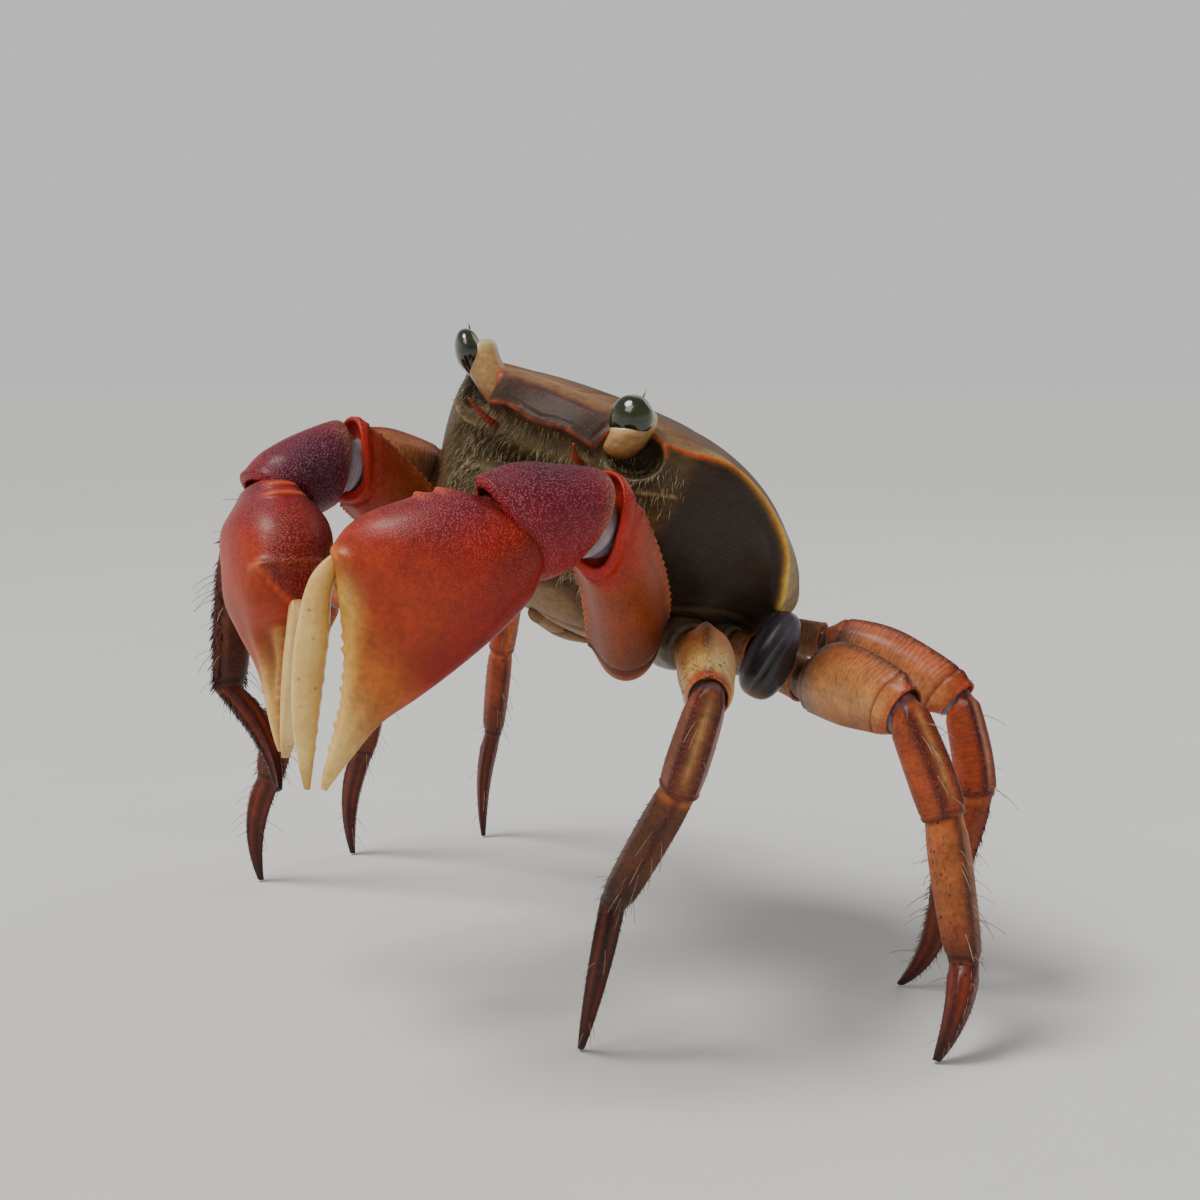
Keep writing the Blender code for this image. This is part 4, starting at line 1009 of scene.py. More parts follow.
def claw_merus_form(article):
    t, angle = article.place, article.angle
    free = rise(t, 0.05, 0.14) * (1 - rise(t, 0.92, 0.98))
    teeth = 0.5 + 0.5 * np.cos(t * 140)
    open_side = article.facing(OPEN_SIDE)
    edges = ridge(angle, open_side + 88, 8) + ridge(angle, open_side - 88, 8)
    form = free * ((0.30 + 0.34 * teeth) * edges + 0.25 * ridge(angle, open_side + 180, 12)
                   - 0.14 * ridge(angle, open_side + 60, 16) - 0.14 * ridge(angle, open_side - 60, 16))
    return MM * (form + 0.30 * bell(t, 0.965, 0.022) - 0.20 * bell(t, 0.90, 0.018)
                 - 0.32 * bell(t, 0.15, 0.012) + 0.45 * bell(t, 0.06, 0.05))


def claw_merus_paint(article):
    t, angle = article.place, article.angle
    open_side = article.facing(OPEN_SIDE)
    edges = ridge(angle, open_side + 88, 10) + ridge(angle, open_side - 88, 10)
    tint = mix(all_over(t.shape, ARM_PAINTS["merus's root"]), ARM_PAINTS["merus"], rise(t, 0.10, 0.45))
    tint = mix(tint, CLAW_RED, rise(t, 0.55, 1.0) * 0.85)
    tint = mix(tint, ARM_PAINTS["toothed edge"],
               0.75 * np.clip(edges, 0, 1) * rise(t, 0.1, 0.25) * rise(t, 0.95, 0.6))
    tint = mix(tint, CLAW_RED * 1.1, 0.9 * rise(t, 0.93, 0.97))
    tint = mix(tint, ARM_PAINTS["elbow"], 0.8 * bell(t, 0.06, 0.05))
    tint = mix(tint, ARM_PAINTS["groove"], 0.7 * bell(t, 0.15, 0.014))
    return tint, feel(t.shape, np.clip(0.40 + 0.5 * edges, 0, 1), 0.12, specks=0.2)


def claw_carpus_form(article):
    t, angle = article.place, article.angle
    free = rise(t, 0.05, 0.2) * (1 - rise(t, 0.93, 0.98))
    return MM * (0.12 * bell(t, 0.95, 0.03) - 0.75 * rise(t, 0.72, 1.0) - 0.55 * rise(t, 0.955, 1.0)
                 + 0.25 * free * ridge(angle, -90, 30) - 0.5 * rise(t, 0.12, 0.0))


def claw_carpus_paint(article):
    t, angle = article.place, article.angle
    upper = ridge(angle, 90, 105)
    inner = ridge(angle, article.facing(OPEN_SIDE), 60)
    tint = mix(all_over(t.shape, CLAW_RED * 0.8), PURPLE * 0.9, 0.98 * upper * bell(t, 0.52, 0.58))
    tint = mix(tint, CLAW_RED, 0.75 * rise(t, 0.94, 0.99))
    tint = mix(tint, ARM_PAINTS["open side"], 0.85 * rise(t, 0.24, 0.08) * inner)
    tint = mix(tint, ARM_PAINTS["carpus's root"], 0.5 * rise(t, 0.20, 0.05) * (1 - inner))
    return tint, feel(t.shape, 0.75 + 0.25 * upper, specks=0.05, shine=0.1)


def claw_base_paint(article):
    t = article.place
    tint = mix(all_over(t.shape, ARM_PAINTS["base"]), ARM_PAINTS["base's root"], 0.5 * rise(t, 0.6, 0.2))
    return tint, feel(t.shape, 0.2, 0.3, specks=0.1)


def make_claw(side):
    root, limb_steps = CLAW_LIMBS[side]
    points = chain(root, limb_steps)
    axis = direction(*CLAW_AXES[side][0])
    at = claw_frame(side, points[-1])
    up = at((0, 1, 0)) - points[-1]
    hinge = unit(np.cross(points[2] - points[1], (0, 0, 1)))
    wrist_side = unit(np.cross(axis, up))
    scale = CLAW_AXES[side][2]
    base_size, merus_size, carpus_size, wrist_size = np.array(CLAW_SIZES) * scale
    steps = [points[k + 1] - points[k] for k in range(3)]
    name = side + "_claw_"
    base = Article("base", points[0], points[1], base_size, hinge, None, steps[1])
    merus = Article("claw_merus", points[1], points[2], merus_size, hinge, steps[0], steps[2],
                    bow=MERUS_BOW[side], notch=(OPEN_SIDE, 42, ELBOW_NOTCH[side]))
    carpus = Article("claw_carpus", points[2], points[3], carpus_size, wrist_side, steps[1], axis)
    wrist = Article("claw_carpus", points[3], points[3] + axis * 9 * MM, wrist_size, wrist_side, steps[2])
    claw_article(name + "base", base, claw_base_paint, leg_form, LEG_FINISH, "leg")
    claw_article(name + "merus", merus, claw_merus_paint, claw_merus_form, CLAW_FINISH, "claw")
    claw_article(name + "carpus", carpus, claw_carpus_paint, claw_carpus_form, WRIST_FINISH, "wrist")
    dress(palm(side, at), "claw", name + "palm")
    dress(moving_finger(side, at), "finger", name + "dactyl")
    joint_skin(base, merus)
    joint_skin(merus, carpus, 0.92)
    joint_skin(carpus, wrist, 0.78, lilac=0.1)


for claw_side in ("left", "right"):
    make_claw(claw_side)


# Shell

SHELL_PAINTS = {
    "back": shade(118, 86, 58), "middle": shade(84, 60, 44), "groove": shade(66, 44, 36),
    "blotch": shade(96, 66, 46), "brow": shade(150, 116, 82), "strip": shade(142, 112, 78),
    "strip's edge": shade(172, 162, 122), "wall": shade(51, 39, 32), "wall's front": shade(60, 42, 30),
    "under the front": shade(90, 74, 44), "plate": shade(56, 40, 22), "plate's blotch": shade(80, 56, 28),
    "plate's top": shade(88, 36, 36), "front rim": shade(176, 78, 38), "inner line": shade(60, 26, 22),
    "socket": shade(60, 51, 34), "socket's rim": shade(176, 92, 42), "crest": shade(178, 148, 108),
    "loop": shade(150, 118, 100), "margin's start": shade(196, 88, 34), "margin": shade(230, 172, 60),
    "margin's end": shade(206, 188, 120), "seam": shade(104, 82, 58),
}


def solid_loft(name, rings):
    """Closed blank from rings of points, with flat ends."""
    rows, around = rings.shape[:2]
    faces = ring_faces(rows, around)[0].tolist()
    faces += [list(range(around))[::-1], list(range((rows - 1) * around, rows * around))]
    points = rings.reshape(-1, 3)
    middle = points.mean(0)
    turning = sum(np.dot(points[f[0]] - middle, np.cross(points[f[1]] - middle, points[f[2]] - middle))
                  for f in faces)
    if turning < 0:
        faces = [face[::-1] for face in faces]
    mesh = bpy.data.meshes.new(name)
    mesh.from_pydata(points.tolist(), [], faces)
    return placed(name, mesh)


def shell_ring(place):
    """Section of the shell: a dome from edge to edge, then the walls and the floor."""
    crown, wide, wide_z, low_x, low_z = smooth_row(SHELL_ROWS, place)
    share = np.linspace(0, 1, 27)[:-1] ** 0.85
    dome = np.stack([wide * share, wide_z + (crown - wide_z) * (1 - share ** 2.6) ** 0.9], -1)
    share = np.linspace(0, 1, 17)
    wall = np.stack([wide + (low_x - wide) * share ** 1.4 + 0.9 * np.sin(math.pi * share),
                     wide_z + (low_z - wide_z) * share], -1)
    half = np.concatenate([dome, wall])
    ring = np.concatenate([half, [(0.0, low_z)], half[:0:-1] * (-1, 1)])
    return np.insert(ring, 1, place, axis=1)


def brow_ring(place, half_width, low, high):
    """Section of the block behind the eyes."""
    count = 56
    turn = np.arange(count) * 2 * math.pi / count
    return np.stack([power(np.cos(turn), 0.55) * half_width, np.full(count, place),
                     (low + high) / 2 + power(np.sin(turn), 0.7) * (high - low) / 2], -1)


def front_ring(t):
    """Section of the bent-down front at t, from -1 at the right end to 1 at the left."""
    y, z = np.array(FRONT_PROFILE).T
    narrow = np.where(y < -22, 1.0 - 0.06 * np.maximum(0.0, (3.4 - z) / 3.4), 1.0)
    number = np.arange(len(y))
    sag = np.where((number >= 4) & (number <= 6), 0.25 * math.cos(2 * math.pi * t), 0.0)
    return np.stack([FRONT_HALF_WIDTH * t * narrow, y + 1.2 * t * t, z - sag], -1)


def nearest(points, path):
    """Distance from each point to a line of points, and the place on it."""
    best = np.full(len(points), 1e9)
    where = np.zeros(len(points))
    for k in range(len(path) - 1):
        low, step = path[k], path[k + 1] - path[k]
        share = np.clip((points - low) @ step / (step @ step), 0, 1)
        away = np.linalg.norm(points - low - share[:, None] * step, axis=1)
        near = away < best
        best = np.where(near, away, best)
        where = np.where(near, (k + share) / (len(path) - 1), where)
    return best, where


def evaluated_mesh(piece):
    """The mesh that a piece's modifiers give; they come off the piece."""
    mesh = bpy.data.meshes.new_from_object(piece.evaluated_get(bpy.context.evaluated_depsgraph_get()))
    piece.modifiers.clear()
    return mesh


def shell_blank():
    """The shell, brow and front plate in one, with the eye sockets cut."""
    blank = solid_loft("carapace_look", np.array([shell_ring(y) for y in places_along(SHELL_ROWS, 76)]))
    brow = solid_loft("brow", np.array([brow_ring(*row) for row in BROW_ROWS]))
    front = solid_loft("front", np.array([front_ring(t) for t in np.linspace(-1, 1, 33)]))
    sockets = []
    for sign in (1, -1):
        bpy.ops.mesh.primitive_uv_sphere_add(segments=48, ring_count=32)
        socket = bpy.context.object
        centre = ORBIT_CENTRE * (sign, 1, 1)
        socket.data.transform(Matrix.Translation(centre) @ Matrix.Diagonal((*ORBIT_RADII, 1)))
        sockets.append(socket)
    tools = ((brow, "UNION"), (front, "UNION"), (sockets[0], "DIFFERENCE"), (sockets[1], "DIFFERENCE"))
    for other, operation in tools:
        joined = blank.modifiers.new("join", "BOOLEAN")
        joined.operation, joined.object, joined.solver = operation, other, "EXACT"
    remesh = blank.modifiers.new("even", "REMESH")
    remesh.mode, remesh.voxel_size = "VOXEL", SHELL_VOXEL
    mesh = evaluated_mesh(blank)
    for other in (blank, brow, front, *sockets):
        bpy.data.objects.remove(other)
    return mesh


def relax(points, edges, rounds):
    """Each point moves to the middle of its neighbours, by halves."""
    size = len(points)
    count = np.bincount(edges.ravel(), minlength=size)
    for _ in range(rounds):
        total = np.stack([np.bincount(edges[:, 0], points[edges[:, 1], n], size)
                          + np.bincount(edges[:, 1], points[edges[:, 0], n], size) for n in range(3)], -1)
        points = points + 0.5 * (total / count[:, None] - points)
    return points


def mesh_arrays(mesh):
    points = np.empty(len(mesh.vertices) * 3)
    mesh.vertices.foreach_get("co", points)
    edges = np.empty(len(mesh.edges) * 2, int)
    mesh.edges.foreach_get("vertices", edges)
    return points.reshape(-1, 3), edges.reshape(-1, 2)


def normals_of(mesh):
    values = np.empty(len(mesh.vertices) * 3)
    mesh.vertex_normals.foreach_get("vector", values)
    return values.reshape(-1, 3)


def snapped(path, points, rounds=3):
    """A path laid on the nearest points of a surface, and evened out."""
    laid = np.array([points[np.argmin(((points - place) ** 2).sum(1))] for place in path])
    for _ in range(rounds):
        laid[1:-1] = (laid[:-2] + 2 * laid[1:-1] + laid[2:]) / 4
    return laid


def shell_surface():
    """The smoothed blank: its mesh, points and normals."""
    mesh = shell_blank()
    points, edges = mesh_arrays(mesh)
    points = relax(points, edges, 10)
    side = np.abs(points[:, 0])
    # the side wall is smooth from the eye socket back
    away = (np.abs(points) * (1, 0, 0) + points * (0, 1, 1) - ORBIT_CENTRE) / ORBIT_RADII
    wall_zone = (rise(side, 13.5, 15.5) * rise(-points[:, 1], -2.0, 6.0) * rise(points[:, 2], 3.4, 1.2)
                 * rise(np.linalg.norm(away, axis=1), 1.10, 1.35))
    points = points + wall_zone[:, None] * (relax(points, edges, 150) - points)
    mesh.vertices.foreach_set("co", points.ravel())
    mesh.update()
    return mesh, points, normals_of(mesh)


def margin_zones(zone):
    """The yellow line round the side, the pale strip above it, and the back."""
    places = places_along(MARGIN_ROWS, 94)
    path = snapped(np.insert(smooth_rows(MARGIN_ROWS, places), 1, places, axis=1), zone.mirrored)
    zone.margin, zone.along_margin = nearest(zone.mirrored, path)
    zone.above = rise(zone.z - np.interp(zone.y, path[:, 1], path[:, 2]), -0.3, 0.3)
    zone.fade = 1 - rise(zone.y, 3.0, 9.0)
    zone.line = bell(zone.margin, 0.0, 0.34) * zone.fade
    zone.strip = rise(zone.margin, 3.8, 0.6) * zone.above * zone.fade
    zone.back = zone.above * rise(zone.y, -21.5, -19.0)


def front_zones(zone, points):
    """The bent-down front plate, its raised rim, a line inside it and its dark top."""
    across = np.linspace(-1, 1, 25)
    rim_points = [(-1, 3), (-1, 4), *[(t, 5) for t in across], (1, 4), (1, 3)]
    zone.rim = nearest(points, np.array([front_ring(t)[n] for t, n in rim_points]))[0]
    top = nearest(points, np.array([front_ring(t)[3] for t in across]))[0]
    zone.plate = (rise(-zone.y, 22.6, 23.4) * rise(zone.z, -1.0, 0.2) * rise(9.6 - zone.side, 0.0, 0.5)
                  * rise(-zone.z, -4.2, -3.2))
    wavy = 0.05 * np.sin(zone.x * 2.1) + 0.03 * np.sin(zone.x * 4.7)
    zone.front_rim = bell(zone.rim + wavy, 0, 0.23)
    zone.inner_line = bell(zone.rim + wavy, 0.85, 0.2) * zone.plate
    zone.top_rim = bell(top + wavy, 0, 0.75)


def socket_zones(zone):
    """The eye sockets with their rims, the crest below each and a fine loop."""
    socket = np.linalg.norm((zone.mirrored - ORBIT_CENTRE) / ORBIT_RADII, axis=1)
    zone.in_socket = 1 - rise(socket, 0.98, 1.06)
    zone.socket_rim = bell(socket, 1.12, 0.07) * rise(-zone.y, 17.5, 19.0)
    zone.upper_socket = rise(zone.z, 1.6, 3.2)
    zone.crest_path = snapped(np.array(EYE_CREST), zone.mirrored, 1)
    crest, along = nearest(zone.mirrored, zone.crest_path)
    zone.crest = bell(crest, 0, 0.40 - 0.22 * along) * (0.35 + 0.65 * rise(along, 0.0, 0.5))
    loop_path = snapped(np.array(EYE_LOOP), zone.mirrored, 1)
    zone.loop = bell(nearest(zone.mirrored, loop_path)[0], 0, 0.20)


def shell_zones(points):
    """Where each part of the shell lies: shares from 0 to 1, and distances in mm."""
    x, y, z = points.T
    zone = SimpleNamespace(x=x, y=y, z=z, side=np.abs(x), mirrored=np.stack([np.abs(x), y, z], -1))
    margin_zones(zone)
    front_zones(zone, points)
    socket_zones(zone)
    below = 1 - zone.above
    zone.wall = below * rise(y, -19.5, -17.5) * (1 - zone.in_socket)
    zone.under_front = below * (1 - rise(y, -19.6, -17.8)) * (1 - zone.plate)
    # grooves of the back, and a faint seam low on the side wall
    side = zone.side
    zone.groove = (bell(side - 5.0 - 0.05 * (y - 1) ** 2, 0, 1.0) * bell(y, 1.0, 5.5)
                   + 0.8 * bell(y - 1.5 + 0.03 * side ** 2, 0, 1.0) * (1 - rise(side, 3.6, 5.6))
                   + 0.7 * bell(y + 5.5 - 0.75 * (side - 6), 0, 1.2) * bell(side, 11.0, 4.5)
                   + 0.6 * bell(side, 0, 0.7) * bell(y, -17.0, 4.0))
    zone.seam_z = -10.9 + 0.10 * (y + 4) + 0.9 * bell(y, -4, 6)
    zone.seam = bell(z, zone.seam_z, 0.28) * zone.wall
    return zone


def shell_lift(zone):
    """Height over the smoothed blank, in mm, of rims, ridges and grooves."""
    lift = 0.30 * zone.line + 0.17 * zone.front_rim + 0.12 * zone.top_rim
    # the back's edge overhangs the side wall
    along_side = rise(zone.y, -19.0, -14.5) * (1 - rise(zone.y, -2.5, 3.0))
    overhang = (1 - zone.above) * rise(zone.margin, 1.3, 0.2) + zone.above * rise(zone.margin, 6.5, 0.3)
    lift = lift + 0.95 * along_side * overhang
    lift = lift + 0.26 * zone.socket_rim * (0.2 + 0.8 * zone.upper_socket)
    lift = lift + 0.65 * zone.crest + 0.14 * zone.loop
    return lift - 0.30 * zone.groove * zone.back - 0.16 * zone.seam - 0.12 * zone.inner_line


def shell_tint(zone):
    """Brown back with a pale edge, dark side walls, an orange-rimmed plate and a yellow margin."""
    paint, x, y, z = SHELL_PAINTS, zone.x, zone.y, zone.z
    blotch = 0.5 + 0.5 * np.sin(x * 0.9 + 2 * np.sin(y * 0.5)) * np.sin(y * 0.8 + 1.5 * np.sin(x * 0.4))
    tint = mix(all_over(x.shape, paint["back"]), paint["middle"], bell(zone.side, 0, 14) * bell(y, -3, 12))
    tint = mix(tint, paint["groove"], 0.5 * np.clip(zone.groove, 0, 1) * zone.back)
    tint = mix(tint, paint["blotch"], 0.35 * blotch * zone.back)
    tint = mix(tint, paint["brow"], 0.7 * rise(-y, 14.5, 19.5) * zone.above)
    tint = mix(tint, paint["strip"], zone.strip * 0.7)
    edge = rise(zone.margin, 3.2, 0.5) * zone.above * zone.fade * 0.8
    tint = mix(tint, paint["strip's edge"], edge * rise(zone.along_margin, 0.0, 0.25))
    tint = mix(tint, paint["wall"], zone.wall)
    tint = mix(tint, paint["wall's front"], 0.6 * zone.wall * rise(-y, 11.0, 18.0) * rise(z, -5.0, 2.0))
    tint = mix(tint, paint["under the front"], zone.under_front)
    tint = mix(tint, mix(paint["plate"], paint["plate's blotch"], blotch), zone.plate)
    tint = mix(tint, paint["plate's top"], 0.95 * zone.top_rim * (0.75 + 0.25 * np.sin(x * 1.9)))
    tint = mix(tint, paint["socket"], zone.in_socket)
    tint = mix(tint, paint["socket's rim"], 0.9 * zone.socket_rim * zone.upper_socket)
    tint = mix(tint, paint["crest"], 0.85 * zone.crest)
    tint = mix(tint, paint["loop"], 0.6 * zone.loop)
    tint = mix(tint, paint["inner line"], 0.6 * zone.inner_line)
    tint = mix(tint, paint["front rim"], 0.92 * zone.front_rim)
    margin = mix(paint["margin's start"], paint["margin"], rise(zone.along_margin, 0.05, 0.32))
    tint = mix(tint, margin, 0.95 * zone.line)
    tint = mix(tint, paint["margin's end"], 0.8 * zone.line * rise(zone.along_margin, 0.47, 0.66))
    return mix(tint, paint["seam"], 0.6 * bell(z, zone.seam_z - 0.3, 0.2) * zone.wall)


def shell_hair(zone, points, normals):
    """Short hair below the front and in the eye sockets, and the combs of the crests."""
    bare = rise(zone.rim, 0.6, 1.2) * (1 - zone.crest) * (1 - zone.loop)
    hairy = (zone.under_front * rise(-zone.y, 17.6, 19.0) * rise(2.2 - zone.z, 0, 1.0)
             + 0.8 * zone.in_socket * rise(-zone.z, -1.0, 1.0)) * bare
    chosen = np.flatnonzero(RANDOM.random(len(hairy)) < 0.24 * hairy)
    x, y, count = zone.x[chosen], zone.y[chosen], len(chosen)
    slant = np.stack([0.25 * np.sign(x), np.full(count, -0.35), np.full(count, -0.75)], -1)
    lies = (normals[chosen] * 0.65 + slant + RANDOM.normal(0, 0.22, (count, 3))) @ BODY_TURN.T
    plant(BEARD, on_body(points[chosen] - normals[chosen] * 0.1), lies, np.array((0, 0.3, -1.0)),
          RANDOM.uniform(0.45, 1.15, count), (np.full(count, CELLS["shell"]), y / 15 + 2, x * 20))
    count = 46
    for sign in (1, -1):
        place = np.linspace(0.15, 0.98, count)
        steps = np.linspace(0, 1, len(zone.crest_path))
        roots = np.stack([np.interp(place, steps, zone.crest_path[:, n]) for n in range(3)], -1)
        roots = roots * (sign, 1, 1)
        lies = (np.array((0.15 * sign, -0.65, 0.65)) + RANDOM.normal(0, 0.12, (count, 3))) @ BODY_TURN.T
        plant(HAIRS, on_body(roots), lies, np.array((0, 0, 1.0)), RANDOM.uniform(0.6, 1.1, count),
              (np.full(count, CELLS["crest"]), place, place * 90))


def carapace():
    """The whole shell in one skin, with its rims, grooves, sockets and hair."""
    mesh, smooth, normals = shell_surface()
    zone = shell_zones(smooth)
    points = smooth + normals * shell_lift(zone)[:, None]
    # the wall's lower edge hangs over the roots of the legs
    points[:, 2] -= 0.95 * rise(-zone.z, 10.0, 12.0) * rise(zone.side, 12.0, 15.0)
    granules = 0.25 * zone.back + 0.45 * zone.plate + 0.2 * zone.under_front
    touch = feel(zone.x.shape, granules, 0.07 * zone.wall, 0.15 * zone.back,
                 0.2 * zone.wall - 1.8 * zone.plate - 1.0 * zone.back)
    lay = np.stack([zone.z * 0.95, zone.y * 0.2, np.zeros_like(zone.x)], -1)
    faces = [list(face.vertices) for face in mesh.polygons]
    piece = mesh_piece("carapace_look", on_body(points), faces, SHELL_FINISH,
                       {"tint": with_alpha(shell_tint(zone)), "touch": touch, "lay": lay})
    shell_hair(zone, points, normals)
    dress(piece, "shell", "carapace")


carapace()


# Underside

BELLY_PAINTS = {
    "breast": shade(132, 104, 72), "breast's seam": shade(84, 62, 44), "flank": shade(72, 54, 42),
    "tail": shade(146, 116, 80), "tail's root": shade(96, 70, 50), "tail's joint": shade(76, 56, 42),
}
MOUTH_PAINTS = {"door": shade(104, 84, 48), "seam": shade(54, 42, 24), "top": shade(74, 60, 34)}


def shell_floor(place):
    """Height of the shell's floor at a y."""
    return -12.2 + 0.14 * (place + 6.0)


def thorax():
    """Breast with the seams between its plates and a keel."""
    places = places_along(THORAX_ROWS, 90)
    half_width, low = smooth_rows(THORAX_ROWS, places).T
    top = shell_floor(places) + 1.4
    c, s = circle(64)
    x = half_width[:, None] * power(c, 0.7)
    # wider at its top, under the shell's wall
    x = x + (1.6 * np.sign(c) * rise(s, -0.3, 0.7) * rise(np.abs(c), 0.0, 0.5)
             * rise(places, -17.0, -12.0)[:, None])
    z = ((top + low) / 2)[:, None] + power(s, 0.8) * ((top - low) / 2)[:, None]
    y = np.broadcast_to(places[:, None], x.shape)
    seams = sum(bell(y - 0.05 * np.abs(x), at, 0.32) for at in THORAX_SEAMS)
    under = rise(-s, 0.0, 0.5)
    z = z + 0.45 * seams * under + 0.5 * bell(x, 0, 1.4) * under
    tint = all_over(x.shape, BELLY_PAINTS["breast"])
    tint = mix(tint, BELLY_PAINTS["breast's seam"], np.clip(seams, 0, 1) * 0.8)
    tint = mix(tint, BELLY_PAINTS["flank"], 0.6 * rise(np.abs(x) / half_width[:, None], 0.75, 1.0))
    dress(skin("thorax_look", on_body(np.stack([x, y, z], -1)), tint, feel(x.shape, 0.1, 0.15, 0.1),
               np.stack([y, x, z], -1), BELLY_FINISH), "belly", "thorax")


def tail_flap():
    """Tail folded under the breast, jointed, brown like the shell at its root."""
    places = places_along(TAIL_ROWS, 100)
    half_width = smooth_rows(TAIL_ROWS, places)[:, 0]
    # it lies under the breast, and behind the breast's end under the shell
    end, _, end_low = THORAX_ROWS[-1]
    low = np.array([smooth_row(THORAX_ROWS, place)[1] if place < end else end_low + (place - end) * 0.9
                    for place in places]) - 0.5
    low = np.where(places < end, low, np.minimum(low, shell_floor(places) - 0.3))
    c, s = circle(40)
    x = half_width[:, None] * power(c, 0.75)
    y = np.broadcast_to(places[:, None], x.shape)
    joints = sum(bell(y, at, 0.28) for at in TAIL_JOINTS)
    half = 0.9 + 0.12 * np.cos(x / half_width[:, None] * 3) - 0.4 * rise(places, 12.0, 17.4)[:, None]
    middle = low - 0.3 + 0.8 * rise(-places, 2.0, 9.0)
    z = middle[:, None] + power(s, 0.8) * half + 0.32 * joints * rise(-s, 0.0, 0.5)
    tint = mix(all_over(x.shape, BELLY_PAINTS["tail"]), BELLY_PAINTS["tail's root"], rise(y, 6.0, 13.0))
    tint = mix(tint, BELLY_PAINTS["tail's joint"], np.clip(joints, 0, 1) * 0.75)
    dress(skin("tail_flap_look", on_body(np.stack([x, y, z], -1)), tint, feel(x.shape, 0.1, 0.15, 0.1, 0.1),
               np.stack([y, x, z], -1), BELLY_FINISH), "belly", "tail_flap")


def mouth_door(sign):
    """Outermost mouth limb of one side, in two articles with a seam between."""
    name = ("left" if sign > 0 else "right") + "_mouth_door"
    heights = places_along(MOUTH_ROWS, 64)
    front, outer = smooth_rows(MOUTH_ROWS, heights).T
    top = rise(heights, -8.8, -4.9) ** 2
    front = front + 1.9 * top
    outer = outer - 4.2 * top
    inner, back = 0.35, -19.5
    c, s = circle(48)
    x = ((inner + outer) / 2)[:, None] + power(c, 0.7) * ((outer - inner) / 2)[:, None]
    y = ((front + back) / 2)[:, None] + power(s, 0.7) * ((back - front) / 2)[:, None]
    z = np.broadcast_to(heights[:, None], x.shape)
    face = rise(-s, 0.2, 0.7)
    seam = bell(z - 0.12 * x, -9.6, 0.30)
    slot = bell(x, 6.6, 0.35)
    y = y + face * (0.5 * seam + 0.35 * slot * rise(-z, 6.0, 8.0)) - 0.2 * face * bell(x, 3.5, 2.2)
    tint = all_over(x.shape, MOUTH_PAINTS["door"])
    tint = mix(tint, MOUTH_PAINTS["seam"], np.clip(seam + slot, 0, 1) * 0.8)
    tint = mix(tint, MOUTH_PAINTS["top"], 0.7 * rise(z, -9.0, -6.5))
    dress(skin(name + "_look", on_body(np.stack([sign * x, y, z], -1)), tint, feel(x.shape, 0.15, 0.1, 0.3),
               np.stack([z, x, y], -1), MOUTH_FINISH), "mouth", name)
    mouth_hair(sign, heights, front, outer)


def mouth_hair(sign, heights, front, outer):
    """Hair on a mouth door and on the wall beside it, lying down and forward."""
    count = 860
    x = RANDOM.uniform(0.5, 12.6, count)
    z = RANDOM.uniform(-14.6, -1.6, count)
    beside = x >= np.interp(z, heights, outer)
    y = np.where(beside, -19.4 - 0.6 * rise(z, -6, -4), np.interp(z, heights, front) + 0.15)
    lies = np.stack([sign * RANDOM.normal(0.15, 0.35, count), np.full(count, -0.55),
                     RANDOM.normal(-0.7, 0.3, count)], -1) @ BODY_TURN.T
    plant(BEARD, on_body(np.stack([sign * x, y, z], -1)), lies, np.array((0, 0.4, -1.0)),
          RANDOM.uniform(0.7, 1.6, count), (np.full(count, CELLS["mouth"] + (sign > 0)), z / 15 + 1, x * 20))


thorax()
tail_flap()
for door_sign in (1, -1):
    mouth_door(door_sign)


# Eyes and feelers

# The cornea's underside paint is painted shade, and its upper rim paint a painted highlight
EYE_PAINTS = {
    "stalk": shade(170, 138, 92), "stalk's root": shade(160, 88, 42), "cup": shade(204, 184, 138),
    "rear": shade(150, 92, 46), "cornea": shade(38, 43, 28), "olive band": shade(70, 76, 44),
    "underside": shade(18, 20, 16), "upper rim": shade(184, 180, 148), "antenna": shade(138, 44, 30),
}


def eye_frame(look):
    lean = unit(look["lean"])
    across = unit(np.array((look["sign"], 0, 0)) - lean * (lean[0] * look["sign"]))
    turn = np.stack([across, np.cross(lean, across), lean], -1)
    root = np.array(EYE_ROOT) + (look["shift"], 0.0, look["raised"])
    return turn, root * (look["sign"], 1, 1)


def eye(side):
    """One eye, drawn along its own lean and placed on the body."""
    look = EYES[side]
    turn, root = eye_frame(look)
    facing = np.array(look["facing"]) @ turn
    facing = unit(facing - (0, 0, facing[2]))

    def at(points):
        return on_body(np.asarray(points, float) @ turn.T + root)

    eyestalk(side, at, turn, facing)
    cornea(side, at, facing)
    top = CORNEA_HEIGHT + look["cornea_radii"][2] - 0.1
    roots = at([(0.5, 0.3, top), (0.2, 0.6, top - 0.05)])
    lies = np.array([at((0.1, 0, 1)) - at((0, 0, 0)), at((-0.4, 0.3, 1)) - at((0, 0, 0))])
    plant(BRISTLES, roots, lies, lies[0], np.array([1.1, 0.6]), ([CELLS["eye"]] * 2, (0.5, 0.6), (90, 90)))


